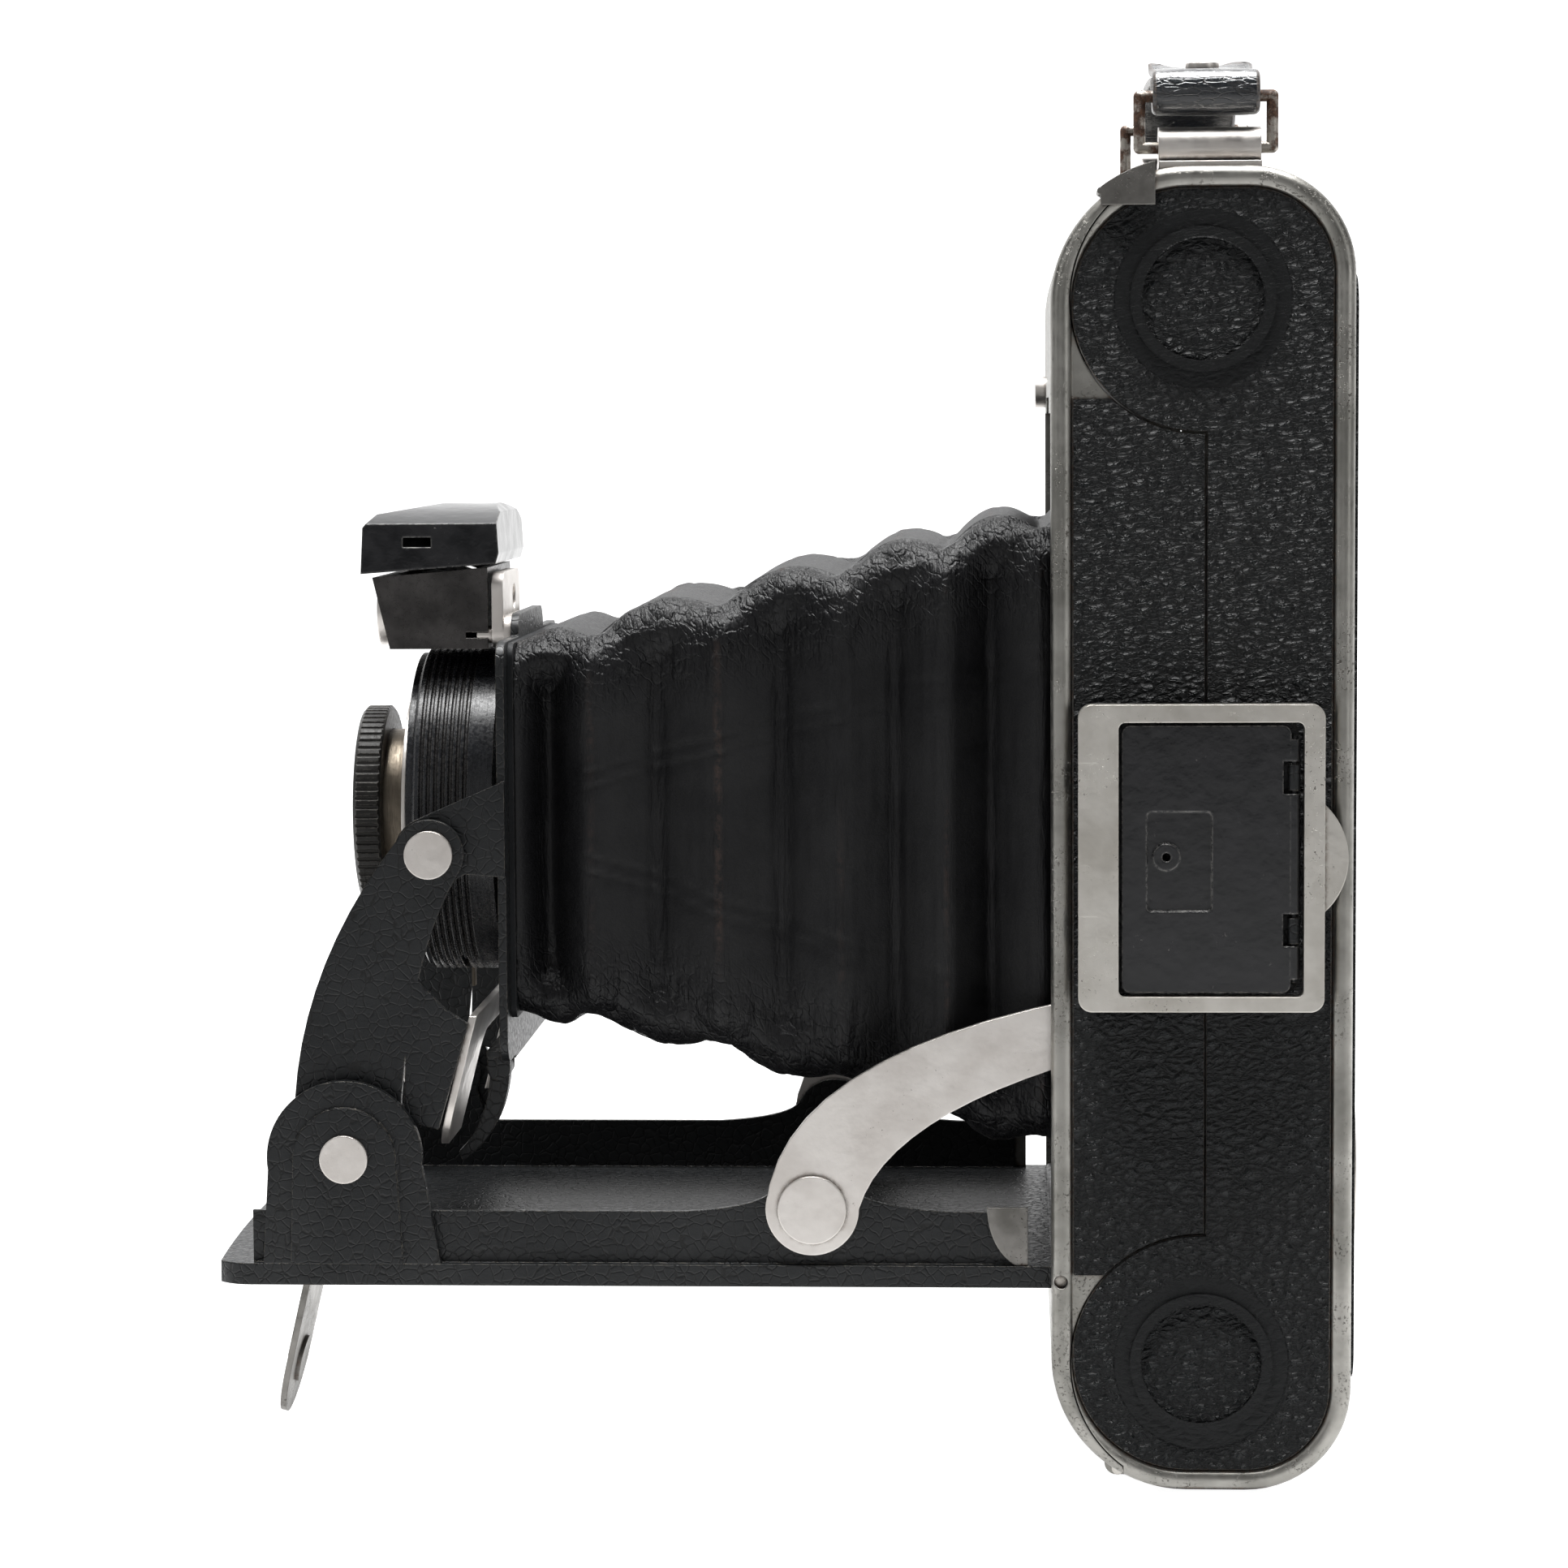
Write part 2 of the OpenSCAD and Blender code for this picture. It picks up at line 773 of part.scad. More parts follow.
// Cup-shaped shutter housing with fine turned grooves round its rim.
module shutter_case() {
    low = board_x - 12.6;
    groove = [for (i = [0:6]) each [[shutter_r, low + 1.7 + i * 0.9],
        [shutter_r - 0.3, low + 1.9 + i * 0.9], [shutter_r - 0.3, low + 2.1 + i * 0.9],
        [shutter_r, low + 2.3 + i * 0.9]]];
    bore = shutter_r - 1.8;
    color("#222426") {
        difference() {
            turned(concat([[11, board_x - 1.8], [11, board_x - 2.8], [bore, board_x - 2.8],
                [bore, low + 0.8], [shutter_r - 0.6, low + 0.8], [shutter_r, low + 1.2]], groove,
                [[shutter_r, board_x - 1.8]]));
            block([disc_x - 0.2, -9.5, lens_z - 25], [disc_x + 0.6, 9.5, lens_z - 14]);
        }
        xcyl(blade_p, lens_z, board_x - 5.8, board_x - 2.8, 0.7);
    }
}

// Face plate of the shutter with the cable-release socket.
module shutter_face() {
    low = board_x - 12.6;
    color("#2a2b2d") {
        turned([[10 + run, low + 0.8], [10 + run, low - 0.4], [13, low - 0.4], [14.5, low],
            [shutter_r - 0.8, low], [shutter_r - 0.8, low + 0.8]]);
        xcyl(16.5, lens_z + 6, low - 1, low, 1.4);
        xcyl(release_p[0], release_p[1], low - 1.2, low, 0.8);
    }
}

// Front barrel and rear cell, on either side of the blades.
module lens_barrel() {
    low = board_x - 17.7;
    bore = light_r + 0.8;
    color("#8d8378") {
        turned([[bore, low], [10, low], [10, disc_x - 0.4], [bore, disc_x - 0.4]]);
        turned([[bore, board_x - 2.8], [11, board_x - 2.8], [11, board_x + 4.6],
            [bore, board_x + 4.6]]);
    }
}

module lens_glass(x0, x1, r, crown) {
    turned(concat([[0, x0 - crown]], [for (i = [1:8]) let (t = i / 8) [r * t, x0 - crown * (1 - t * t)]],
        [[r, x1], [0, x1]]));
}

module front_lens() {
    color("#9fb4c4") lens_glass(board_x - 16.6, board_x - 13.6, light_r + 0.8, 1);
}

module rear_lens() {
    color("#9fb4c4") lens_glass(board_x + 1.6, board_x + 3.6, light_r + 0.8, 0.6);
}

// Knurled focusing ring round the front of the barrel.
module focus_ring() {
    low = board_x - 20.2;
    high = board_x - 16.8;
    color("#8d8378") difference() {
        turned([[light_r + 0.6, low + 0.6], [10.6, low], [focus_r - 0.5, low], [focus_r, low + 0.5],
            [focus_r, high - 0.3], [focus_r - 0.4, high], [10 + run, high], [10 + run, board_x - 17.8],
            [light_r + 0.6, board_x - 17.8]]);
        for (a = [0:5:355])
            translate([low - 1, 0, lens_z]) rotate([a, 0, 0])
                translate([0, 0, focus_r + 0.1]) rotate([0, 90, 0]) cylinder(h = 6, r = 0.32, $fn = 12);
    }
}

// Diaphragm disc with its hub on the barrel and a pointer through the rim.
module aperture_disc() {
    color("#6d6a66") difference() {
        union() {
            xcyl(0, lens_z, disc_x, disc_x + 0.4, shutter_r - 2.1);
            xcyl(0, lens_z, disc_x - 1.6, disc_x, 11.4);
            block([disc_x, -0.8, lens_z - shutter_r - 2.4], [disc_x + 0.4, 0.8, lens_z - 15]);
        }
        xcyl(0, lens_z, disc_x - 3, disc_x - 0.1, 10 + run);
        xcyl(0, lens_z, disc_x - 1, disc_x + 1, 5);
    }
}

// Lever over the rim that sets the shutter.
module cocking_lever() {
    x = board_x - 13.8;
    color("silver") {
        difference() {
            xcyl(0, lens_z, x, x + 0.5, 14.8);
            xcyl(0, lens_z, x - 1, x + 2, 13.1);
        }
        translate([x, 0, lens_z]) rotate([-62, 0, 0]) translate([0, 14.2, -1.4]) cube([0.5, 7.6, 2.8]);
        translate([x, 0, lens_z]) rotate([-62, 0, 0]) translate([-0.6, 21.2, -1.4]) cube([3, 1.6, 2.8]);
    }
}

// Release lever on its own pivot near the lower rim.
module release_lever() {
    x = board_x - 13.6;
    color("silver") translate([x, release_p[0], release_p[1]]) difference() {
        union() {
            rotate([0, 90, 0]) cylinder(h = 0.6, r = 2.2);
            rotate([40, 0, 0]) translate([0, -11, -1.1]) cube([0.6, 11, 2.2]);
            rotate([40, 0, 0]) translate([-1.2, -12.4, -2]) cube([3, 1.6, 4]);
        }
        translate([-1, 0, 0]) rotate([0, 90, 0]) cylinder(h = 3, r = 0.8 + run);
    }
}

// One of the two shutter blades: half a disc on a pivot at its end.
module blade(x, flip) {
    color("#4a4a4c") translate([x, 0, lens_z]) mirror([0, 0, flip]) difference() {
        xplate(0, 0.25) {
            intersection() {
                circle(r = 11);
                translate([-20, -0.6]) square([40, 20]);
            }
            translate([blade_p, 0]) circle(r = 2);
            translate([9.6, -0.6]) square([blade_p - 9.6, 2.6]);
        }
        xcyl(blade_p, 0, -1, 2, 0.7 + run);
    }
}

module blade_upper() { blade(board_x - 4.6, 0); }

module blade_lower() { blade(board_x - 5.4, 1); }

// Curved catch under the board that hooks below the cross plate.
module catch_lever() {
    color("#2a2b2d") yplate(-20, -17.5) difference() {
        union() {
            translate(catch_p) circle(r = 1.4);
            polygon(concat(bend([board_x, 47.6], [board_x - 0.6, 40], [-90.2, 36.4]),
                bend([-90.6, 37.6], [-87, 41], [board_x - 2.4, 47.6])));
        }
        translate(catch_p) circle(r = 0.5 + run);
    }
}

// ---- brilliant finder ----

finder_pin = [-11, 101];

module finder_bracket() {
    color("silver") {
        difference() {
            xplate(board_x - 2.4, board_x - 1) rounded([-13, 99.5], [5, 108.8], 2);
            xcyl(-1, 105.4, board_x - 5, board_x, 1.6);
            xcyl(finder_pin[0], finder_pin[1], board_x - 5, board_x, 1);
        }
        xplate(board_x - 1, board_x) rounded([-13, 97.4], [5, 103.4], 2);
        xcyl(finder_pin[0], finder_pin[1], board_x - 4.4, board_x - 1, 1);
    }
}

// Small enamelled box of the reflecting finder.
module finder_body() {
    color("#15171a") difference() {
        yplate(-12, 12) polygon([[-99.5, 99.3], [-101.6, 108.2], [-87.2, 109.4], [-87.2, 99.3]]);
        yplate(-10.6, 10.6) polygon([[-98.2, 100.6], [-100.2, 107], [-100, 112], [-88.6, 112],
            [-88.6, 100.6]]);
        xcyl(0, 103.6, -105, -96, 3.6);
        xcyl(finder_pin[0], finder_pin[1], -90, -86, 1 + run);
    }
}

module finder_lens_ring() {
    color("silver") difference() {
        xcyl(0, 103.6, -102.2, -99.2, 4.4);
        xcyl(0, 103.6, -105, -95, 3.6);
        yplate(-12, 12) polygon([[-99.5, 99.3], [-101.6, 108.2], [-90, 108], [-90, 99]]);
    }
}

module finder_lenses() {
    color("#9fb4c4") {
        difference() {
            translate([-94.3, 0, 103.6]) sphere(r = 8);
            block([-100.4, -9, 94], [-85, 9, 113]);
            xplate(-105, -100) difference() {
                translate([-15, 90]) square([30, 30]);
                translate([0, 103.6]) circle(r = 3.5);
            }
        }
        yplate(-10.5, 10.5) polygon([[-99.6, 106.2], [-88.7, 107.2], [-88.7, 108.4], [-94, 109.2],
            [-99.6, 107.6]]);
    }
}

module finder_mirror() {
    color("#c8ccd0") yplate(-10.4, 10.4) polygon([[-98, 100.7], [-97.2, 100.7], [-88.7, 105.9],
        [-88.7, 106.9]]);
}

// Arched hood over the viewing lens, fixed along its rear edge.
module finder_hood() {
    arch = 41;
    crown = 117.2;
    color("#15171a") difference() {
        intersection() {
            yplate(-13.6, 13.6) polygon([[-102.8, 108.7], [-102.5, 114.4], [-101.2, 116],
                [-94, 117.2], [-87.2, 117.3], [-85.9, 116.2], [-85.6, 111.2], [-86, 109.9]]);
            translate([0, 0, crown - arch]) xcyl(0, 0, -110, -80, arch);
        }
        intersection() {
            yplate(-12.7, 12.7) polygon([[-102.1, 105], [-101.7, 114], [-100.8, 115.2],
                [-94, 116.3], [-87.6, 116.4], [-86.7, 115.6], [-86.4, 105]]);
            translate([0, 0, crown - 0.9 - arch]) xcyl(0, 0, -110, -80, arch);
        }
        block([-97.5, -14, 112], [-94, -12, 113.2]);
    }
}

// ---- bellows ----

fold_n = 15;
bellows_front = board_x + 1.7;
bellows_rear = 12.7;

// Half-width, low and high edge of the bellows at fold number i.
function fold_x(i) = bellows_front + (bellows_rear - bellows_front) * i / fold_n;
function fold_side(i) = i == 0 ? 26.6 : i == fold_n ? 30.6 : 27.6 + 3.4 * i / fold_n
    + (i % 2 == 0 ? 1.2 : -1.6);
function fold_high(i) = 101 + 19.4 * i / fold_n + (i % 2 == 0 ? -1.2 : 1.2);
function fold_low(i) = 54.7 - 21 * i / fold_n + (i % 2 == 0 ? 1.2 : -1.2);
function fold_ring(i, t) = let (x = fold_x(i), s = fold_side(i) - t)
    [[x, -s, fold_low(i) + t], [x, s, fold_low(i) + t], [x, s, fold_high(i) - t],
    [x, -s, fold_high(i) - t]];

// Leather bellows: a thin-walled tapering tube with folds.
module bellows() {
    outer = [for (i = [0:fold_n]) each fold_ring(i, 0)];
    core = [for (i = [0:fold_n]) each fold_ring(i, 0.8)];
    m = 4 * (fold_n + 1);
    walls = [for (i = [0:fold_n - 1], k = [0:3]) let (a = 4 * i + k, b = 4 * i + (k + 1) % 4)
        each [[a, b + 4, b], [a, a + 4, b + 4]]];
    lining = [for (f = walls) [f[0] + m, f[2] + m, f[1] + m]];
    lips = [for (k = [0:3]) let (n = (k + 1) % 4, e = 4 * fold_n)
        each [[k, n, n + m], [k, n + m, k + m], [e + k, e + k + m, e + n + m], [e + k, e + n + m, e + n]]];
    color("#232527") polyhedron(concat(outer, core), concat(walls, lining, lips));
}

// ---- sports finder on the near side ----

module sight_base() {
    color("#222426") {
        difference() {
            yplate(sight_y - 0.5, sight_y) rounded([-14.2, 60], [11.2, 92], 1.5);
            yplate(sight_y - 2, sight_y + 1) rounded([-8, 64], [6, 88], 2);
        }
        yplate(sight_y, -skin) rounded([-13.5, 66], [-9, 86], 1);
        for (z = [66, 84]) {
            zcyl(-13.6, -40.1, z, z + 3, 0.9);
            block([-14.4, -40.1, z], [-12.8, sight_y - 0.5, z + 3]);
            zcyl(10.6, -40.2, z, z + 3, 0.7);
            block([10, -40.2, z], [11.2, sight_y - 0.5, z + 3]);
        }
        zcyl(-13.6, -40.1, 60.6, 91.4, 0.4);
        zcyl(10.6, -40.2, 61.4, 90.4, 0.3);
    }
}

// Bright front frame that swings out on its left edge.
module sport_frame() {
    color("silver") difference() {
        union() {
            yplate(-41.4, -38.9) difference() {
                rounded([-14.6, 58], [14.1, 94.1], 1.6);
                rounded([-9.9, 59.8], [11.7, 92], 0.8);
            }
            yplate(-40.6, -39.4) intersection() {
                translate([8.3, 76]) circle(r = 8.6);
                translate([14, 60]) square([10, 40]);
            }
        }
        block([-12.4, -40.9, 59.6], [-9, -38, 92.2]);
        block([-15.4, -39.5, 57], [-13.9, -38, 95]);
        for (z = [65.7, 83.7]) block([-15.4, -41.3, z], [-12.4, -38, z + 3.6]);
        zcyl(-13.6, -40.1, 60, 92, 0.4 + run);
    }
}

// Black rear sight leaf with its peep panel.
module rear_sight() {
    color("#1b1d20") difference() {
        union() {
            yplate(-40.7, -39.9) difference() {
                rounded([-9.5, 60.2], [10.2, 91.6], 1);
                rounded([-6.6, 69.8], [1, 81.5], 0.6);
            }
            yplate(-40.2, -39.9) rounded([-7, 69.4], [1.4, 81.9], 0.6);
            ycyl([-4.3, 76.2], -40.9, -40.2, 1.6);
            zcyl(10.6, -40.2, 61.8, 65.7, 0.7);
            zcyl(10.6, -40.2, 69.4, 83.6, 0.7);
            zcyl(10.6, -40.2, 87.4, 90, 0.7);
        }
        ycyl([-4.3, 76.2], -42, -38, 0.5);
        for (z = [65.7, 83.6]) block([9.3, -42, z], [12, -38, z + 3.8]);
        zcyl(10.6, -40.2, 55, 95, 0.3 + run);
    }
}

// Clip at the top front edge that holds the back shut, hinged at its front end.
module back_latch() {
    reach = 6.3;
    color("silver") {
        yplate(latch_y, -32.5) {
            intersection() {
                translate(latch_c) difference() {
                    circle(r = front_r + 1);
                    circle(r = front_r + 0.15);
                }
                translate([latch_p[0], 148]) square([reach, 12]);
            }
            translate(latch_p) circle(r = 0.42);
        }
        yplate(latch_y, latch_y + 0.5) intersection() {
            translate(latch_c) circle(r = front_r + 1);
            translate([latch_p[0], 152]) square([reach, 8]);
        }
    }
}

shell_near();
shell_far();
shell_low();
shell_top();
front_leather();
film_frame();
bellows_rear_frame();
bed_hinge_pin();
back_hinge_pin();
tripod_bush();
sight_base();
roller_top();
roller_bottom();
take_up_spool();
supply_spool();
winding_shaft();
winding_key();
supply_pin();
supply_knob();
back();
back_leather();
pressure_plate();
red_window();
window_cover();
strap_clips();
strap_rings();
strap();
strap_studs();
bed();
bed_brackets();
bed_stops();
arm_pins();
strut_rivets();
foot_bracket();
foot();
arms();
cross_plate();
board_pins();
side_struts();
lens_board();
bellows_front_frame();
shutter_case();
shutter_face();
lens_barrel();
front_lens();
rear_lens();
focus_ring();
aperture_disc();
cocking_lever();
release_lever();
blade_upper();
blade_lower();
finder_bracket();
finder_body();
finder_lens_ring();
finder_lenses();
finder_mirror();
finder_hood();
catch_lever();
bellows();
sport_frame();
rear_sight();
back_latch();
door_button();
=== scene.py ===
"""The look of a small folding roll-film camera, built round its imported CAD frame.

All lengths are in metres in the row frame: -X towards the lens, -Y towards the viewer, +Z up.
"""

import math

import bpy
import numpy as np
from mathutils import Euler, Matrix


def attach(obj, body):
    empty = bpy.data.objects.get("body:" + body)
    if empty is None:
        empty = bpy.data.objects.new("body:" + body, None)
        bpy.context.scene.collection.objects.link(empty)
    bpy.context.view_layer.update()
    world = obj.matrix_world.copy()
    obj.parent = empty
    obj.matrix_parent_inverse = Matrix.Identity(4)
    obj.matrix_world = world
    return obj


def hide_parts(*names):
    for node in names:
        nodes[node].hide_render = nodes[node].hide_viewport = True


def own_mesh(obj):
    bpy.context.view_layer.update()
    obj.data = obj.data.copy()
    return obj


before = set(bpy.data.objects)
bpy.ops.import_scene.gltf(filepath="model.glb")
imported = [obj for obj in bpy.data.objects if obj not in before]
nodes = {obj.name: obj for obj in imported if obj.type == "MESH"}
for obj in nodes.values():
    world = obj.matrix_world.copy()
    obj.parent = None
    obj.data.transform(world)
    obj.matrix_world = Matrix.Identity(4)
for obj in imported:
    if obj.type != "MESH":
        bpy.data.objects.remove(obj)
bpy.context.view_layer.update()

MM = 0.001

# The two pressed rings in the side leather, in millimetres: the heights of their centres, and the
# radii between which the leather is pressed smooth.
LOW_RING_Z, HIGH_RING_Z = 15.4, 141.1
BAND_IN, BAND_OUT = 7.0, 10.5

# ---------------------------------------------------------------- shader graph helpers


class Graph:
    """A material, with short methods for the shader nodes that it is built from."""

    def __init__(self, name):
        self.material = bpy.data.materials.new(name)
        self.material.use_nodes = True
        self.tree = self.material.node_tree
        self.tree.nodes.clear()
        self.shader = self.tree.nodes.new("ShaderNodeBsdfPrincipled")
        output = self.tree.nodes.new("ShaderNodeOutputMaterial")
        self.tree.links.new(self.shader.outputs["BSDF"], output.inputs["Surface"])
        self.point = self.node("ShaderNodeTexCoord").outputs["Object"]

    def node(self, kind, inputs=None, **settings):
        made = self.tree.nodes.new(kind)
        for key, value in settings.items():
            setattr(made, key, value)
        for key, value in (inputs or {}).items():
            self.feed(made.inputs[key], value)
        return made

    def feed(self, socket, value):
        if isinstance(value, bpy.types.NodeSocket):
            self.tree.links.new(value, socket)
        else:
            socket.default_value = value

    def set(self, **inputs):
        """Feeds the surface shader; an underscore stands for a space in a socket's name."""
        for key, value in inputs.items():
            self.feed(self.shader.inputs[key.replace("_", " ")], value)

    def millimetres(self, stretch=(1, 1, 1), turn=(0, 0, 0)):
        """Object coordinates in millimetres, turned and then stretched."""
        turned = self.node("ShaderNodeMapping", {"Vector": self.point, "Rotation": turn}).outputs[0]
        scale = tuple(1 / (s * MM) for s in stretch)
        return self.node("ShaderNodeMapping", {"Vector": turned, "Scale": scale}).outputs[0]

    def noise(self, vector, scale, detail=2.0, rough=0.5, warp=0.0):
        made = self.node("ShaderNodeTexNoise", {"Vector": vector, "Scale": scale, "Detail": detail,
            "Roughness": rough, "Distortion": warp})
        return made.outputs["Fac"]

    def warped(self, vector, scale, amount):
        """The vector shifted by a noise of that scale, by up to about amount."""
        source = self.node("ShaderNodeTexNoise", {"Vector": vector, "Scale": scale, "Detail": 1.0})
        centred = self.node("ShaderNodeVectorMath", {0: source.outputs["Color"], 1: (0.5, 0.5, 0.5)},
            operation="SUBTRACT").outputs[0]
        made = self.node("ShaderNodeVectorMath", {0: centred, 1: (amount,) * 3, 2: vector},
            operation="MULTIPLY_ADD")
        return made.outputs[0]

    def cells(self, vector, scale, feature="F1", chance=1.0, smooth=0.3):
        made = self.node("ShaderNodeTexVoronoi", feature=feature)
        self.feed(made.inputs["Vector"], vector)
        self.feed(made.inputs["Scale"], scale)
        self.feed(made.inputs["Randomness"], chance)
        if feature == "SMOOTH_F1":
            self.feed(made.inputs["Smoothness"], smooth)
        return made.outputs["Distance"]

    def ramp(self, value, low, high, out_low=0.0, out_high=1.0):
        made = self.node("ShaderNodeMapRange", {"Value": value, "From Min": low, "From Max": high,
            "To Min": out_low, "To Max": out_high}, interpolation_type="SMOOTHSTEP")
        return made.outputs["Result"]

    def maths(self, operation, first, second=0.0):
        return self.node("ShaderNodeMath", {0: first, 1: second}, operation=operation).outputs[0]

    def mix(self, share, first, second):
        """One colour into another as share goes from 0 to 1."""
        made = self.node("ShaderNodeMix", data_type="RGBA")
        self.feed(made.inputs[0], share)
        self.feed(made.inputs[6], first if isinstance(first, bpy.types.NodeSocket) else (*first, 1))
        self.feed(made.inputs[7], second if isinstance(second, bpy.types.NodeSocket) else (*second, 1))
        return made.outputs[2]

    def bump(self, height, depth, under=None):
        """A normal from a height of 0 to 1 that stands for that many millimetres."""
        inputs = {"Height": height, "Distance": depth * MM, "Strength": 1.0}
        if under is not None:
            inputs["Normal"] = under
        return self.node("ShaderNodeBump", inputs).outputs["Normal"]

    def rounded(self, radius):
        """A normal as if the edges were rounded to that many millimetres."""
        return self.node("ShaderNodeBevel", {"Radius": radius * MM}, samples=6).outputs["Normal"]

    def edge(self, radius):
        """1 on a convex or concave edge, 0 on a flat."""
        flat = self.node("ShaderNodeNewGeometry").outputs["Normal"]
        dot = self.node("ShaderNodeVectorMath", {0: flat, 1: self.rounded(radius)}, operation="DOT_PRODUCT")
        return self.ramp(dot.outputs["Value"], 0.995, 0.86)

    def crevice(self, reach, opened=0.85, closed=0.45):
        """1 in a narrow corner, 0 in the open, looking that many millimetres around."""
        made = self.node("ShaderNodeAmbientOcclusion", {"Distance": reach * MM}, samples=6,
            only_local=False)
        return self.ramp(made.outputs["AO"], opened, closed)

    def ring_band(self, x, z):
        """1 on the smooth pressed band round the point (x, z) in millimetres, 0 elsewhere."""
        off = self.node("ShaderNodeVectorMath", {0: self.point, 1: (x * MM, 0, z * MM)},
            operation="SUBTRACT").outputs[0]
        flat = self.node("ShaderNodeVectorMath", {0: off, 1: (1, 0, 1)}, operation="MULTIPLY").outputs[0]
        far = self.node("ShaderNodeVectorMath", {0: flat}, operation="LENGTH").outputs["Value"]
        inside = self.ramp(far, BAND_IN * MM, (BAND_IN + 0.3) * MM)
        return self.maths("MULTIPLY", inside, self.ramp(far, BAND_OUT * MM, (BAND_OUT - 0.3) * MM))

    def attribute(self, name):
        made = self.node("ShaderNodeAttribute", attribute_name=name, attribute_type="GEOMETRY")
        return made.outputs["Fac"]


def nickel(name, tint, dull, gloss=0.34, pits=0.5, rust=0.6):
    """Old nickel plate: satin, cloudy, pitted, brown where it meets another part, and darkened to near
    black in narrow gaps by painted shade.
    """
    g = Graph(name)
    mm = g.millimetres()
    cloud = g.noise(mm, 0.12, 4.0, 0.6)
    fine = g.noise(mm, 1.1, 5.0, 0.65)
    colour = g.mix(g.ramp(cloud, 0.35, 0.68), tint, dull)
    pit_noise = g.noise(g.warped(mm, 1.5, 0.4), 2.6, 3.0, 0.7)
    pit_area = g.ramp(g.noise(mm, 0.16, 2.0), 0.42, 0.66)
    pit = g.maths("MULTIPLY", g.ramp(pit_noise, 0.70 - 0.09 * pits, 0.76 - 0.09 * pits), pit_area)
    corner = g.crevice(0.9)
    corner = g.maths("MULTIPLY", corner, g.ramp(fine, 0.36, 0.60))
    corner = g.maths("MULTIPLY", corner, rust)
    brown = g.mix(g.ramp(fine, 0.4, 0.62), (0.050, 0.026, 0.014), (0.16, 0.085, 0.045))
    colour = g.mix(g.maths("MULTIPLY", pit, 0.85), colour, (0.045, 0.036, 0.028))
    colour = g.mix(corner, colour, brown)
    # Painted shade: narrow gaps and seams are coloured near black, the way shade falls in them.
    painted_gap_shade = g.crevice(1.0, 0.58, 0.42)
    colour = g.mix(painted_gap_shade, colour, (0.008, 0.007, 0.006))
    # Real pits and rust joined with the painted gap shade; together they roughen the plate, take away its
    # metal and dent it.
    stain_and_gap_shade = g.maths("MAXIMUM", g.maths("MAXIMUM", pit, corner), painted_gap_shade)
    rough = g.ramp(g.noise(mm, 0.5, 5.0, 0.7), 0.25, 0.75, gloss - 0.07, gloss + 0.12)
    rough = g.maths("ADD", rough, g.maths("MULTIPLY", stain_and_gap_shade, 0.35))
    metal = g.maths("SUBTRACT", 1.0, g.maths("MULTIPLY", stain_and_gap_shade, 0.8))
    dents = g.bump(g.maths("SUBTRACT", 1.0, stain_and_gap_shade), 0.05, g.rounded(0.25))
    wavy = g.bump(g.noise(mm, 0.7, 3.0, 0.5), 0.03, dents)
    g.set(Base_Color=colour, Metallic=metal, Roughness=rough, Normal=wavy)
    return g.material


def pebbled_leather(name):
    """Black covering leather with long pebbles that rise a little towards the back."""
    g = Graph(name)
    mm = g.millimetres(stretch=(1.75, 1.5, 1.0), turn=(0, math.radians(8), 0))
    bent = g.warped(mm, 0.55, 0.75)
    bent = g.warped(bent, 1.7, 0.28)
    valley = g.cells(bent, 0.95, "DISTANCE_TO_EDGE")
    dome = g.ramp(valley, 0.0, 0.34)
    small = g.cells(g.warped(bent, 2.0, 0.3), 2.3, "DISTANCE_TO_EDGE")
    creases = g.ramp(small, 0.0, 0.16, 0.0, 1.0)
    plain = g.millimetres()
    skin = g.noise(plain, 3.2, 5.0, 0.65)
    worn = g.ramp(g.noise(plain, 0.045, 3.0, 0.6), 0.45, 0.62)
    height = g.maths("ADD", g.maths("MULTIPLY", dome, 0.75), g.maths("MULTIPLY", creases, 0.25))
    band = g.maths("MAXIMUM", g.ring_band(0.0, LOW_RING_Z), g.ring_band(0.0, HIGH_RING_Z))
    height = g.maths("MULTIPLY", height, g.maths("SUBTRACT", 1.0, g.maths("MULTIPLY", band, 0.85)))
    normal = g.bump(height, 0.75)
    normal = g.bump(skin, 0.05, normal)
    low = g.mix(g.ramp(skin, 0.35, 0.65), (0.0028, 0.0032, 0.0036), (0.0058, 0.0066, 0.0072))
    high = g.mix(worn, (0.0075, 0.0092, 0.0100), (0.0120, 0.0132, 0.0140))
    colour = g.mix(g.ramp(height, 0.15, 0.85), low, high)
    scuff = g.maths("MULTIPLY", g.ramp(g.noise(plain, 0.8, 4.0, 0.7), 0.60, 0.70), g.ramp(height, 0.6, 1.0))
    scuff = g.maths("MULTIPLY", scuff, g.ramp(g.noise(plain, 0.06, 2.0), 0.5, 0.65))
    colour = g.mix(g.maths("MULTIPLY", scuff, 0.55), colour, (0.055, 0.042, 0.034))
    rough = g.ramp(height, 0.1, 0.9, 0.60, 0.28)
    rough = g.maths("ADD", rough, g.ramp(skin, 0.3, 0.7, -0.05, 0.08))
    g.set(Base_Color=colour, Roughness=rough, Normal=normal, Specular_IOR_Level=0.27)
    return g.material


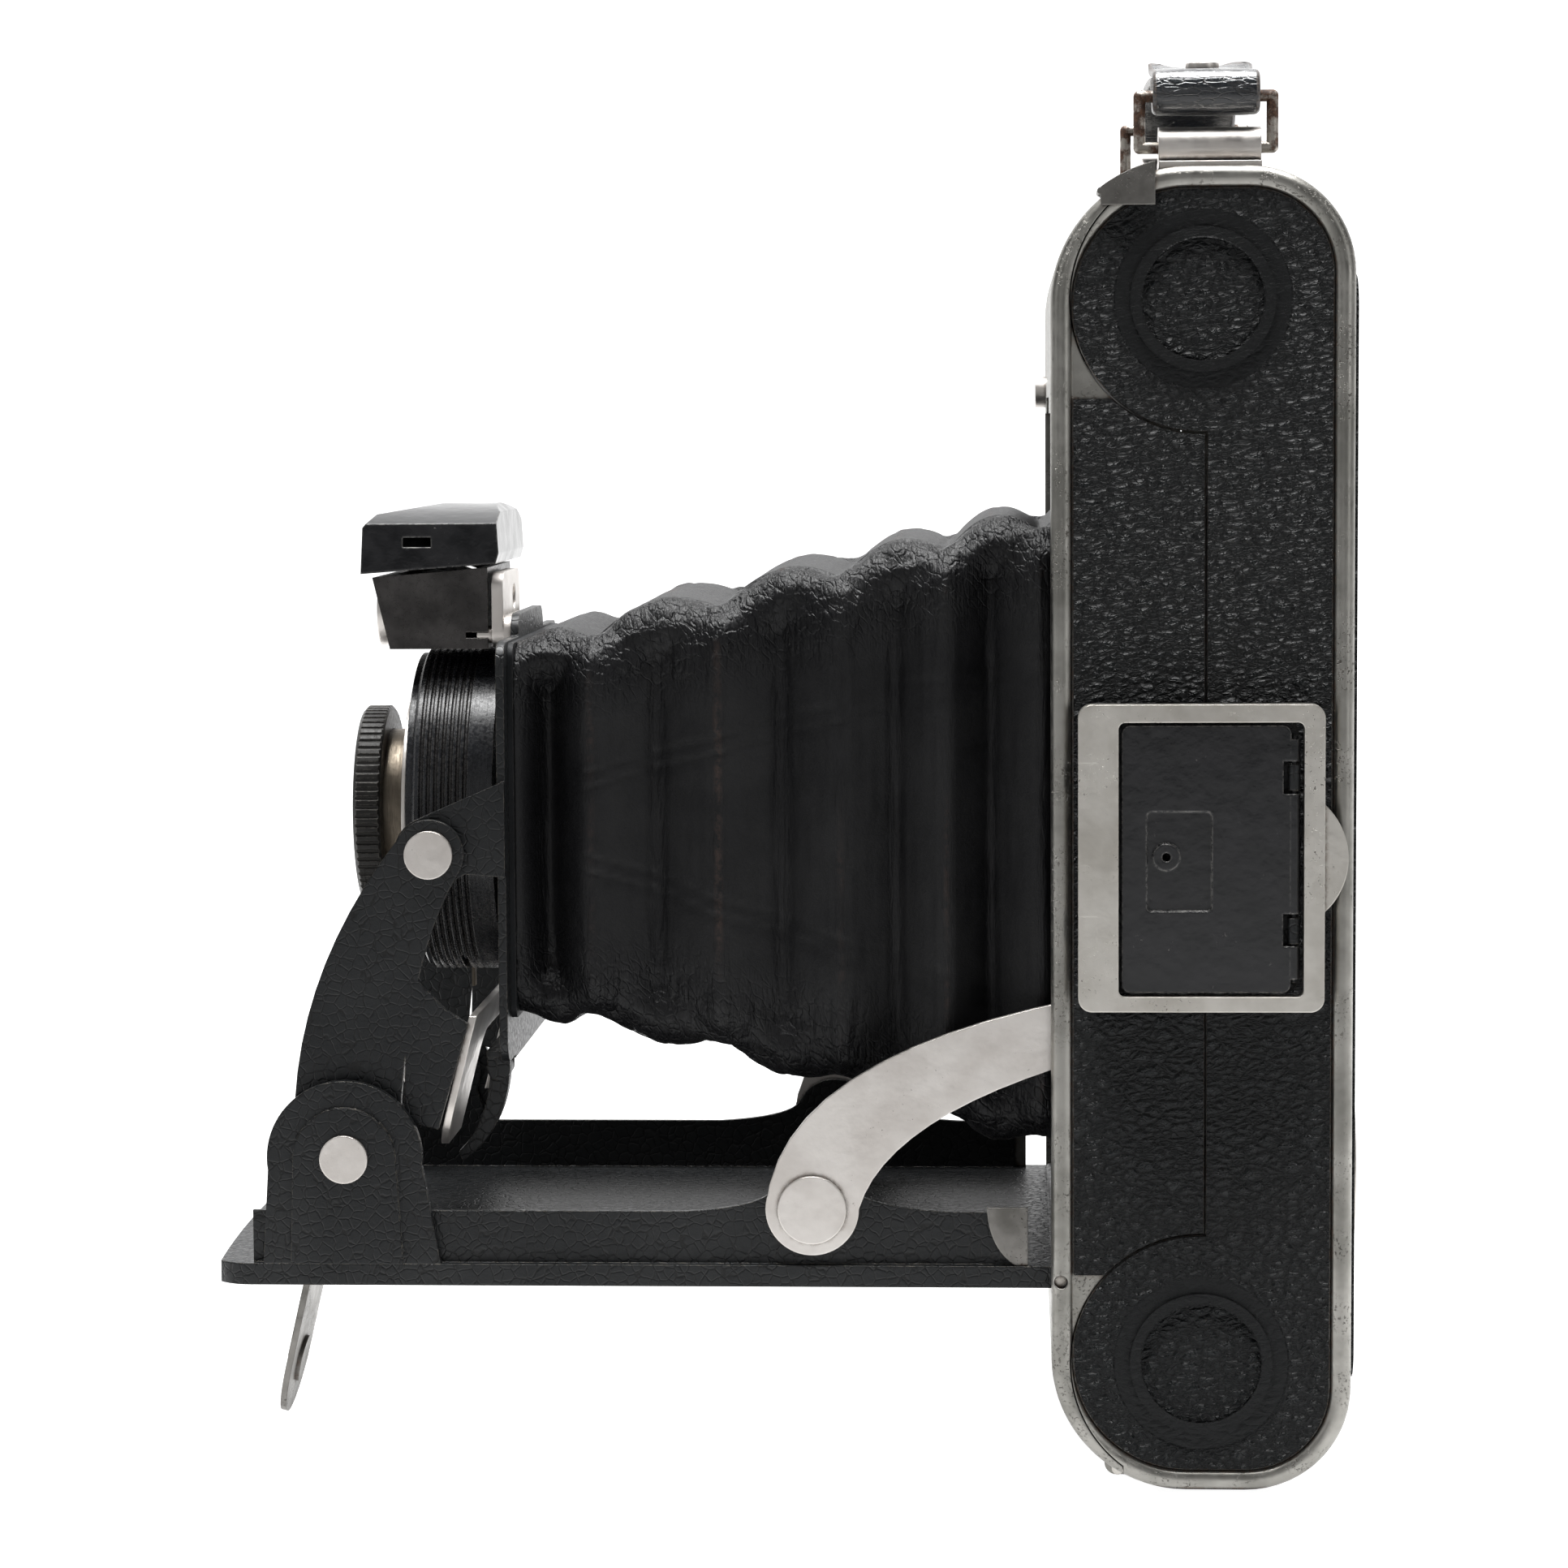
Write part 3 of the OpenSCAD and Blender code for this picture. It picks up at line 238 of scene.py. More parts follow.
def crackle_lacquer(name):
    """Black baked lacquer with a fine crackle and bright worn edges."""
    g = Graph(name)
    mm = g.warped(g.millimetres(), 0.8, 0.5)
    crack = g.cells(mm, 0.75, "DISTANCE_TO_EDGE")
    tile = g.ramp(crack, 0.0, 0.10)
    ripple = g.noise(g.millimetres(), 1.6, 4.0, 0.6)
    area = g.ramp(g.noise(g.millimetres(), 0.07, 2.0), 0.35, 0.65)
    height = g.maths("ADD", g.maths("MULTIPLY", tile, 0.6), g.maths("MULTIPLY", ripple, 0.6))
    normal = g.bump(height, 0.07, g.rounded(0.3))
    colour = g.mix(area, (0.007, 0.008, 0.009), (0.013, 0.014, 0.015))
    colour = g.mix(g.ramp(tile, 0.5, 0.0), colour, (0.005, 0.005, 0.005))
    dust = g.noise(g.millimetres(), 3.5, 3.0, 0.7)
    edge = g.maths("MULTIPLY", g.edge(0.16), g.ramp(ripple, 0.42, 0.62))
    colour = g.mix(g.maths("MULTIPLY", g.ramp(dust, 0.70, 0.76), 0.35), colour, (0.10, 0.095, 0.085))
    colour = g.mix(g.maths("MULTIPLY", edge, 0.75), colour, (0.20, 0.18, 0.15))
    rough = g.ramp(ripple, 0.3, 0.7, 0.30, 0.48)
    g.set(Base_Color=colour, Roughness=rough, Normal=normal, Specular_IOR_Level=0.34)
    g.set(Metallic=g.maths("MULTIPLY", edge, 0.5))
    return g.material


def gloss_enamel(name, worn=0.5):
    """Glossy black enamel, rubbed to grey metal on its edges."""
    g = Graph(name)
    mm = g.millimetres()
    broad = g.noise(mm, 0.22, 4.0, 0.6)
    fine = g.noise(mm, 1.8, 4.0, 0.65)
    edge = g.maths("MULTIPLY", g.edge(0.35), g.ramp(fine, 0.40, 0.58))
    chips = g.maths("MULTIPLY", g.ramp(fine, 0.66, 0.70), g.ramp(broad, 0.52, 0.66))
    bare = g.maths("MULTIPLY", g.maths("MAXIMUM", edge, chips), worn)
    colour = g.mix(g.ramp(broad, 0.3, 0.7), (0.0065, 0.007, 0.008), (0.014, 0.014, 0.016))
    colour = g.mix(bare, colour, (0.34, 0.33, 0.31))
    rough = g.maths("ADD", g.ramp(broad, 0.3, 0.7, 0.10, 0.22), g.maths("MULTIPLY", bare, 0.25))
    g.set(Base_Color=colour, Metallic=bare, Roughness=rough)
    g.set(Normal=g.bump(g.noise(mm, 0.5, 3.0, 0.5), 0.05, g.rounded(0.4)))
    g.set(Coat_Weight=0.15, Coat_Roughness=0.08)
    return g.material


def turned_black(name, base, gloss, metal=0.0, grain=0.04):
    """Machined metal blackened or plated, with the fine rings a lathe leaves across X and painted shade
    darkening its narrow corners.
    """
    g = Graph(name)
    mm = g.millimetres()
    rings = g.noise(g.millimetres(stretch=(0.09, 6, 6)), 1.0, 2.0, 0.6)
    fine = g.noise(mm, 2.2, 4.0, 0.65)
    broad = g.noise(mm, 0.18, 3.0, 0.6)
    edge = g.maths("MULTIPLY", g.edge(0.14), g.ramp(fine, 0.38, 0.6))
    dark = tuple(c * 0.45 for c in base)
    colour = g.mix(g.ramp(broad, 0.3, 0.7), base, dark)
    colour = g.mix(g.maths("MULTIPLY", edge, 0.6), colour, (0.30, 0.28, 0.25))
    # Painted shade: the colour darkens towards near black in narrow corners and recesses.
    painted_corner_shade = g.crevice(0.7)
    colour = g.mix(g.maths("MULTIPLY", painted_corner_shade, 0.7), colour, (0.012, 0.009, 0.007))
    rough = g.ramp(fine, 0.3, 0.7, gloss - 0.06, gloss + 0.12)
    normal = g.bump(g.maths("ADD", rings, g.maths("MULTIPLY", fine, 0.4)), grain, g.rounded(0.12))
    g.set(Base_Color=colour, Roughness=rough, Normal=normal)
    g.set(Metallic=g.maths("MAXIMUM", g.maths("MULTIPLY", edge, 0.6), metal))
    return g.material


def flat_black(name):
    """Matt black paint with dust and rubbed edges."""
    g = Graph(name)
    mm = g.millimetres()
    fine = g.noise(mm, 3.0, 5.0, 0.7)
    broad = g.noise(mm, 0.1, 3.0, 0.6)
    edge = g.maths("MULTIPLY", g.edge(0.15), g.ramp(fine, 0.45, 0.62))
    colour = g.mix(g.ramp(broad, 0.3, 0.7), (0.006, 0.007, 0.008), (0.012, 0.013, 0.015))
    colour = g.mix(g.maths("MULTIPLY", edge, 0.5), colour, (0.12, 0.11, 0.10))
    g.set(Base_Color=colour, Roughness=g.ramp(fine, 0.3, 0.7, 0.48, 0.66))
    g.set(Normal=g.bump(fine, 0.02, g.rounded(0.15)), Specular_IOR_Level=0.22)
    return g.material


def bellows_leather(name):
    """Thin black leather: finely grained, creased at the folds and rubbed brown along the crests."""
    g = Graph(name)
    mm = g.millimetres()
    crest = g.attribute("crest")
    crumple = g.attribute("crumple")
    grain = g.noise(mm, 2.4, 5.0, 0.7)
    upright = g.noise(g.warped(g.millimetres(stretch=(0.42, 1.2, 3.2)), 0.6, 0.8), 1.0, 4.0, 0.6)
    slanted = g.millimetres(stretch=(0.9, 1.4, 1.6), turn=(0, math.radians(35), 0))
    crease = g.cells(g.warped(slanted, 0.9, 1.2), 0.8, "DISTANCE_TO_EDGE")
    crease = g.ramp(crease, 0.0, 0.16)
    near_fold = g.ramp(g.maths("ABSOLUTE", crest), 0.55, 1.0)
    wrinkled = g.maths("MAXIMUM", near_fold, crumple)
    normal = g.bump(grain, 0.06)
    normal = g.bump(g.maths("MULTIPLY", upright, wrinkled), 0.30, normal)
    normal = g.bump(g.maths("MULTIPLY", crease, crumple), 0.08, normal)
    cloud = g.noise(mm, 0.09, 3.0, 0.6)
    colour = g.mix(g.ramp(cloud, 0.35, 0.65), (0.0042, 0.0042, 0.0050), (0.0095, 0.0095, 0.0102))
    rub = g.maths("MULTIPLY", g.ramp(crest, 0.80, 1.0), g.ramp(g.noise(mm, 0.7, 4.0, 0.7), 0.40, 0.62))
    rub = g.maths("MULTIPLY", rub, g.ramp(g.noise(mm, 0.05, 2.0, 0.5), 0.40, 0.60))
    colour = g.mix(g.maths("MULTIPLY", rub, 0.7), colour, (0.085, 0.052, 0.040))
    rough = g.ramp(grain, 0.3, 0.7, 0.40, 0.56)
    rough = g.maths("SUBTRACT", rough, g.maths("MULTIPLY", crumple, 0.14))
    g.set(Base_Color=colour, Roughness=rough, Normal=normal, Specular_IOR_Level=0.26)
    return g.material


def strap_leather(name):
    """Glossy black strap leather with fine cross cracks and frayed brown edges."""
    g = Graph(name)
    mm = g.millimetres()
    worn = g.attribute("worn")
    cracks = g.cells(g.warped(g.millimetres(stretch=(2.6, 0.8, 0.8)), 1.1, 0.7), 1.1, "DISTANCE_TO_EDGE")
    cracks = g.ramp(cracks, 0.0, 0.12)
    fine = g.noise(mm, 3.0, 4.0, 0.6)
    normal = g.bump(cracks, 0.035)
    normal = g.bump(fine, 0.04, normal)
    colour = g.mix(g.ramp(fine, 0.35, 0.7), (0.008, 0.010, 0.013), (0.018, 0.020, 0.025))
    colour = g.mix(g.ramp(cracks, 0.5, 0.0, 0.0, 0.35), colour, (0.04, 0.036, 0.032))
    frayed = g.maths("MULTIPLY", worn, g.ramp(fine, 0.35, 0.65))
    colour = g.mix(frayed, colour, (0.075, 0.052, 0.038))
    g.set(Base_Color=colour, Normal=normal)
    g.set(Roughness=g.maths("ADD", g.ramp(fine, 0.3, 0.7, 0.14, 0.24), g.maths("MULTIPLY", worn, 0.3)))
    g.set(Specular_IOR_Level=0.75, Coat_Weight=0.5, Coat_Roughness=0.12)
    return g.material


def rusty_wire(name):
    g = Graph(name)
    mm = g.millimetres()
    blotch = g.noise(mm, 0.55, 4.0, 0.65)
    fine = g.noise(mm, 2.8, 5.0, 0.7)
    rust = g.mix(g.ramp(fine, 0.35, 0.65), (0.030, 0.014, 0.008), (0.115, 0.055, 0.030))
    rusted = g.ramp(blotch, 0.40, 0.56)
    g.set(Base_Color=g.mix(rusted, (0.42, 0.39, 0.35), rust))
    g.set(Metallic=g.maths("SUBTRACT", 1.0, rusted), Roughness=g.ramp(blotch, 0.4, 0.6, 0.35, 0.75))
    g.set(Normal=g.bump(fine, 0.06))
    return g.material


def turned_wood(name):
    g = Graph(name)
    mm = g.millimetres()
    rings = g.noise(g.millimetres(stretch=(0.5, 5, 0.5)), 1.0, 4.0, 0.6, 0.5)
    fibre = g.noise(g.millimetres(stretch=(0.12, 3, 0.12)), 1.0, 3.0, 0.6)
    colour = g.mix(g.ramp(rings, 0.3, 0.7), (0.22, 0.115, 0.05), (0.42, 0.25, 0.12))
    colour = g.mix(g.ramp(fibre, 0.55, 0.75), colour, (0.14, 0.07, 0.03))
    g.set(Base_Color=colour, Roughness=g.ramp(g.noise(mm, 1.0, 3.0), 0.3, 0.7, 0.42, 0.6))
    g.set(Normal=g.bump(fibre, 0.04))
    return g.material


def clear_glass(name, tint, thick=1.5):
    g = Graph(name)
    mm = g.millimetres()
    smear = g.noise(mm, 0.35, 4.0, 0.6)
    g.set(Base_Color=g.mix(g.ramp(smear, 0.3, 0.7), tint, tuple(c * 0.94 for c in tint)))
    g.set(Roughness=g.ramp(smear, 0.45, 0.75, 0.02, 0.10), IOR=thick)
    g.set(Transmission_Weight=1.0, Coat_Weight=0.3, Coat_Roughness=0.03)
    return g.material


def silvered(name):
    g = Graph(name)
    mm = g.millimetres()
    haze = g.noise(mm, 0.6, 4.0, 0.6)
    g.set(Base_Color=g.mix(g.ramp(haze, 0.45, 0.75), (0.86, 0.87, 0.88), (0.55, 0.52, 0.47)))
    g.set(Metallic=1.0, Roughness=g.ramp(haze, 0.4, 0.8, 0.05, 0.28))
    return g.material


FINISH = {
    "trim_metal": nickel("trim_metal_look", (0.66, 0.635, 0.59), (0.52, 0.495, 0.45), 0.36, 1.0, 1.0),
    "bright_metal": nickel("bright_metal_look", (0.78, 0.745, 0.71), (0.66, 0.62, 0.585), 0.36, 0.15, 0.7),
    "covering": pebbled_leather("covering_look"),
    "crackle": crackle_lacquer("crackle_look"),
    "enamel": gloss_enamel("enamel_look"),
    "shutter_black": turned_black("shutter_black_look", (0.014, 0.015, 0.018), 0.24),
    "barrel_metal": turned_black("barrel_metal_look", (0.30, 0.255, 0.20), 0.36, 0.9),
    "matt_black": flat_black("matt_black_look"),
    "roller_metal": nickel("roller_metal_look", (0.60, 0.59, 0.57), (0.5, 0.49, 0.47), 0.25, 0.1, 0.3),
    "spool_wood": turned_wood("spool_wood_look"),
    "bellows_leather": bellows_leather("bellows_leather_look"),
    "strap_leather": strap_leather("strap_leather_look"),
    "wire": rusty_wire("wire_look"),
    "lens_glass": clear_glass("lens_glass_look", (0.95, 0.95, 0.97)),
    "red_glass": clear_glass("red_glass_look", (0.55, 0.03, 0.02)),
    "mirror": silvered("mirror_look"),
}


# Pieces that look different from the rest of their slot: plating gone dark, the shells' duller
# plating, the blackened grip of the focus ring and the grey sides of the viewing finder.
DARK_PIECES = ("foot", "foot_bracket", "back_latch", "bed_stops")
DARK_FINISH = nickel("dark_metal_look", (0.26, 0.25, 0.235), (0.13, 0.125, 0.115), 0.38, 1.2, 0.9)
SHELL_PIECES = ("shell_near", "shell_far", "shell_low", "shell_top", "back")
SHELL_FINISH = nickel("shell_look", (0.37, 0.36, 0.335), (0.24, 0.235, 0.215), 0.34, 1.5, 1.0)
FINDER_FINISH = turned_black("finder_body_look", (0.085, 0.080, 0.078), 0.30, 0.75, 0.01)
RING_FINISH = turned_black("focus_ring_look", (0.022, 0.021, 0.019), 0.34, 0.4)


def dress(obj, slot_name):
    """Gives a piece the finish of that material slot."""
    obj.data.materials.clear()
    obj.data.materials.append(FINISH[slot_name])


for part in nodes.values():
    slot_name = part.data.materials[0].name.split(".")[0]
    dress(part, slot_name)
for name in DARK_PIECES:
    nodes[name].data.materials[0] = DARK_FINISH
for name in SHELL_PIECES:
    nodes[name].data.materials[0] = SHELL_FINISH
nodes["focus_ring"].data.materials[0] = RING_FINISH
nodes["finder_body"].data.materials[0] = FINDER_FINISH

# ---------------------------------------------------------------- mesh helpers


LATTICE = 32
# Added to a point's coordinates so that the noise lookups stay positive.
AWAY = 500


def lattice(seed):
    return np.random.default_rng(seed).random((LATTICE, LATTICE, LATTICE))


def smooth_noise(points, pitch, seed):
    """Value noise from -1 to 1 at each point, with cells of that pitch (one number or three)."""
    table = lattice(seed)
    q = points / np.asarray(pitch)
    base = np.floor(q).astype(int)
    part = q - base
    part = part * part * (3 - 2 * part)
    total = np.zeros(len(points))
    for corner in range(8):
        step = np.array([corner & 1, corner >> 1 & 1, corner >> 2 & 1])
        weight = np.prod(np.where(step, part, 1 - part), axis=1)
        index = (base + step) % LATTICE
        total += weight * table[index[:, 0], index[:, 1], index[:, 2]]
    return total * 2 - 1


def mesh_piece(name, points, faces, slot_name, attributes=None, smooth=True):
    data = bpy.data.meshes.new(name)
    data.from_pydata([tuple(p) for p in points], [], faces)
    for key, values in (attributes or {}).items():
        layer = data.attributes.new(key, "FLOAT", "POINT")
        layer.data.foreach_set("value", np.asarray(values, np.float32))
    data.update()
    data.shade_smooth() if smooth else data.shade_flat()
    made = bpy.data.objects.new(name, data)
    bpy.context.scene.collection.objects.link(made)
    dress(made, slot_name)
    return made


def tube_faces(rows, columns, start=0, flip=False):
    """Quads of a tube of rings, each ring closed."""
    faces = []
    for i in range(rows - 1):
        for k in range(columns):
            n = (k + 1) % columns
            a, b = start + i * columns, start + (i + 1) * columns
            quad = (a + k, a + n, b + n, b + k)
            faces.append(quad[::-1] if flip else quad)
    return faces


# ---------------------------------------------------------------- bellows

FRONT_X, REAR_X = -82.5, 12.7
FIRST_DIP = -78.4
CORNER_REACH = 9.0
SIDE_CRESTS = [-73.1, -57.6, -42.8, -30.1, -18.7, -8.4, 1.6]
SIDE_DIPS = [-79.4, -65.2, -50.0, -36.3, -24.9, -13.4, -3.4, 6.6]


def fold_wave(x):
    """1 at the side faces' crests and -1 at their dips, straight between, with soft turns."""
    places = [FRONT_X] + sorted(SIDE_CRESTS + SIDE_DIPS) + [REAR_X]
    heights = [0.0] + [1.0 if p in SIDE_CRESTS else -1.0 for p in places[1:-1]] + [0.0]
    dense = np.linspace(FRONT_X, REAR_X, 1905)
    wave = np.interp(dense, places, heights)
    kernel = np.hanning(49)
    wave = np.convolve(np.pad(wave, 24, mode="edge"), kernel / kernel.sum(), mode="valid")
    return np.interp(x, dense, wave)


def bellows():
    stations = 330
    side_n, top_n, corner_n = 64, 52, 16
    radius = 6.0
    x = np.linspace(FRONT_X, REAR_X, stations)
    wave = fold_wave(x)
    half_width = np.interp(x, [-82.5, -74, -17, 12.7], [26.6, 27.6, 30.2, 30.4])
    top = np.interp(x, [-82.5, -78, -22.5, 12.7], [100.7, 101.2, 114.8, 119.6])
    bottom = np.interp(x, [-82.5, -74, -64.6, -48, -26.9, -14, 12.7],
        [55.3, 54.6, 52.8, 48.6, 41.9, 39.0, 34.6])
    swell = np.interp(x, [-82.5, -77, 5, 12.7], [0.0, 1.0, 1.0, 0.2])
    ring = []
    quarter = np.linspace(0, math.pi / 2, corner_n, endpoint=False)
    line = np.linspace(-1, 1, side_n, endpoint=False)
    flat = np.linspace(-1, 1, top_n, endpoint=False)
    # Each ring goes round as seen from the front: near side up, top, far side down, bottom.
    for s in line:
        ring.append((-1, s, 0.0, math.pi, 1.0, 0))
    for a in quarter:
        ring.append((-1, 1, a, math.pi - a, math.cos(2 * a), 1))
    for s in flat:
        ring.append((s, 1, 0.0, math.pi / 2, -1.0, 2))
    for a in quarter:
        ring.append((1, 1, math.pi / 2 - a, math.pi / 2 - a, -math.cos(2 * a), 3))
    for s in line:
        ring.append((1, -s, 0.0, 0.0, 1.0, 4))
    for a in quarter:
        ring.append((1, -1, a, -a, math.cos(2 * a), 5))
    for s in flat:
        ring.append((-s, -1, 0.0, -math.pi / 2, -1.0, 6))
    for a in quarter:
        ring.append((-1, -1, 0.0, -math.pi / 2 - a, -math.cos(2 * a), 7))
    columns = len(ring)
    along_y = np.array([r[0] for r in ring])
    along_z = np.array([r[1] for r in ring])
    angle = np.array([r[3] for r in ring])
    face = np.array([r[4] for r in ring])
    corner = np.array([r[5] % 2 for r in ring])
    mid, half = (top + bottom) / 2, (top - bottom) / 2
    X, _ = np.meshgrid(x, along_y, indexing="ij")
    inner_y = half_width[:, None] - radius
    inner_z = half[:, None] - radius
    out_y, out_z = np.cos(angle), np.sin(angle)
    Y = along_y * inner_y + radius * out_y
    Z = mid[:, None] + along_z * inner_z + radius * out_z
    amplitude = np.where(face > 0, 2.3, 1.5)
    fold = wave[:, None] * face
    # Along the top and bottom the folds stand as broad humps with narrow valleys between them.
    hump = 2 * (1 - ((1 - fold) / 2) ** 1.9) - 1
    fold = np.where(face < 0, hump * np.abs(face), fold)
    lift = fold * amplitude * swell[:, None]
    # The side folds open inwards, the first one behind the front frame deepest.
    inward = 1.1 * swell + 3.2 * np.exp(-(((x - FIRST_DIP) / 2.4) ** 2))
    lift -= inward[:, None] * np.clip(face, 0, 1)
    turn_share = 1 - np.abs(face) ** 2
    near_fold = np.clip((np.abs(wave) - 0.55) / 0.45, 0, 1)[:, None]
    flat_points = np.stack([X, Y, Z], axis=2).reshape(-1, 3)
    # Folding pinches each corner into short diagonal tucks.
    tuck = smooth_noise(flat_points + AWAY, (2.4, 3.0, 2.2), 11).reshape(X.shape)
    fine = smooth_noise(flat_points + AWAY, (0.9, 1.3, 1.6), 12).reshape(X.shape)
    upright = smooth_noise(flat_points + AWAY, (0.8, 5.0, 6.0), 13).reshape(X.shape)
    broad = smooth_noise(flat_points + AWAY, (9.0, 11.0, 11.0), 14).reshape(X.shape)
    cross = np.abs(smooth_noise(flat_points + AWAY, (3.2, 4.5, 4.5), 15).reshape(X.shape))
    from_corner = np.abs(np.abs(Z - mid[:, None]) - inner_z)
    near_corner = np.clip(1 - from_corner / CORNER_REACH, 0, 1) ** 1.6
    near_corner = np.where(corner == 1, 1.0, np.where(face > 0, near_corner, 0.0))
    lift += swell[:, None] * (0.24 * tuck * near_corner + 0.10 * fine * near_corner
        - 0.30 * (1 - cross) ** 6 * near_corner
        + (0.05 + 0.10 * near_fold) * upright + 0.30 * broad * (face > 0))
    lift -= 0.5 * turn_share * (1 - np.abs(wave[:, None])) * swell[:, None]
    # Two pairs of pressed lines cross the side faces, rising and falling towards the body.
    on_side = (corner == 0) & (face > 0)
    groove = np.zeros_like(X)
    for start, slope_z in ((85.6, 0.262), (83.7, 0.262), (74.3, -0.335), (72.4, -0.335)):
        line_z = start + slope_z * (X + 71.4)
        groove = np.maximum(groove, np.exp(-(((Z - line_z) / 0.36) ** 2)))
    lift -= 0.34 * groove * on_side * np.clip((X + 76) / 3, 0, 1)
    Y = Y + lift * out_y
    Z = Z + lift * out_z
    outer = np.stack([X, Y, Z], axis=2).reshape(-1, 3)
    thick = 0.7
    lining = np.stack([X, Y - thick * out_y, Z - thick * out_z], axis=2).reshape(-1, 3)
    total = stations * columns
    faces = tube_faces(stations, columns, 0) + tube_faces(stations, columns, total, True)
    last = (stations - 1) * columns
    for k in range(columns):
        n = (k + 1) % columns
        faces.append((n, k, total + k, total + n))
        faces.append((last + k, last + n, total + last + n, total + last + k))
    crest = (wave[:, None] * face).reshape(-1)
    attributes = {
        "crest": np.concatenate([crest, crest]),
        "crumple": np.concatenate([near_corner.reshape(-1)] * 2),
    }
    points = np.concatenate([outer, lining]) * MM
    return mesh_piece("bellows_skin", points, faces, "bellows_leather", attributes)


skin = bellows()
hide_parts("bellows")
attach(skin, "body")
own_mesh(skin)

# ---------------------------------------------------------------- strap

STRAP_MID_X = 0.6
STRAP_HALF = 6.3
STRAP_END_Y = 30.0
BAR_Z = 165.0
LAYER = 0.52


def strap_arc(y):
    """Height of the strap's middle line at y."""
    rise = 1.8
    radius = (STRAP_END_Y**2 + rise**2) / (2 * rise)
    return BAR_Z + 2 + rise - radius + math.sqrt(radius**2 - y * y)


def strap_path():
    """(y, z) points from one tail, round a ring bar, along the strap, round the other bar to its tail."""
    tail = [(y, strap_arc(y) + LAYER + 0.04) for y in np.linspace(14.5, 28.5, 22)]
    top_z = tail[-1][1]
    loop = []
    for a in np.linspace(80, -95, 26):
        r = np.interp(a, [-95, 0, 80], [1.75, 2.3, top_z - BAR_Z])
        bend = math.radians(a)
        loop.append((STRAP_END_Y - 0.2 + r * 0.92 * math.cos(bend), BAR_Z + r * math.sin(bend)))
    under = []
    for t in np.linspace(0.06, 1, 18):
        y = 29.4 - 8.4 * t
        ease = t * t * (3 - 2 * t)
        under.append((y, (BAR_Z - 1.75) * (1 - ease) + (strap_arc(y) - LAYER - 0.04) * ease))
    middle = [(y, strap_arc(y) - LAYER - 0.04) for y in np.linspace(20, 0, 26)]
    half = tail + loop + under + middle
    mirrored = [(-y, z) for y, z in half[::-1][1:]]
    return np.array(half + mirrored)


def strap():
    path = strap_path()
    steps = np.hypot(*np.diff(path, axis=0).T)
    length = np.concatenate([[0], np.cumsum(steps)])
    rows = 300
    even = np.linspace(0, length[-1], rows)
    y = np.interp(even, length, path[:, 0])
    z = np.interp(even, length, path[:, 1])
    for line in (y, z):
        line[2:-2] = (line[:-4] + line[1:-3] + line[2:-2] + line[3:-1] + line[4:]) / 5
    tangent = np.stack([np.gradient(y), np.gradient(z)], axis=1)
    tangent /= np.linalg.norm(tangent, axis=1)[:, None]
    normal = np.stack([-tangent[:, 1], tangent[:, 0]], axis=1)
    across = []
    flat_n, edge_n = 26, 6
    for s in np.linspace(-1, 1, flat_n):
        across.append((s * (STRAP_HALF - LAYER), 1.0, 0.0))
    for a in np.radians(np.linspace(80, -80, edge_n)):
        across.append((STRAP_HALF - LAYER + LAYER * math.cos(a), math.sin(a), 1.0))
    for s in np.linspace(1, -1, flat_n):
        across.append((s * (STRAP_HALF - LAYER), -1.0, 0.0))
    for a in np.radians(np.linspace(-80, 80, edge_n)):
        across.append((-STRAP_HALF + LAYER - LAYER * math.cos(a), math.sin(a), 1.0))
    across = np.array(across)
    columns = len(across)
    points, worn = [], []
    for i in range(rows):
        end = min(i, rows - 1 - i)
        thin = min(1.0, 0.35 + end / 7)
        side = 1 if i < rows / 2 else -1
        for u, h, at_edge in across:
            fray = 0.9 * math.sin(u * 2.3 + side) + 0.6 * math.sin(u * 5.1)
            slide = fray * max(0.0, 1 - end / 5) * 0.5
            curl = 1.15 * max(0.0, 1 - end / 11) ** 2 * (0.5 + 0.5 * math.sin(u * 0.55 + 1.2 * side))
            bow = -0.10 * (abs(u) / STRAP_HALF) ** 3
            offset = h * LAYER * thin * (1 - 0.10 * (abs(u) / STRAP_HALF) ** 4) + bow
            py = y[i] + normal[i, 0] * offset + tangent[i, 0] * slide
            pz = z[i] + normal[i, 1] * offset + tangent[i, 1] * slide + curl
            points.append((STRAP_MID_X + u, py, pz))
            worn.append(max(at_edge, 1 - end / 4))
    points = np.array(points)
    broad = smooth_noise(points + AWAY, (2.6, 1.1, 1.4), 21)
    fine = smooth_noise(points + AWAY, (0.8, 0.5, 0.5), 22)
    points[:, 2] += broad * 0.05 + fine * 0.025
    faces = tube_faces(rows, columns, 0, True)
    last = (rows - 1) * columns
    faces.append(tuple(range(columns)))
    faces.append(tuple(last + k for k in range(columns))[::-1])
    return mesh_piece("strap_band", points * MM, faces, "strap_leather", {"worn": worn})


band = strap()
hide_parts("strap")
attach(band, "rear_cover")

# ---------------------------------------------------------------- camera, lights and floor

SENSOR = 36.0
PHOTO_SIDE = 1932
FOCAL = 5221.0
camera_data = bpy.data.cameras.new("view_camera")
camera_data.sensor_width = SENSOR
camera_data.lens = FOCAL / PHOTO_SIDE * SENSOR
camera_data.clip_start = 0.01
camera_data.clip_end = 20
camera = bpy.data.objects.new("view_camera", camera_data)
camera.location = (-0.0225, -0.535, 0.1277)
camera.rotation_euler = Euler((math.radians(90) - 0.0863, 0.0065, 0.0530), "XYZ")
bpy.context.scene.collection.objects.link(camera)
bpy.context.scene.camera = camera


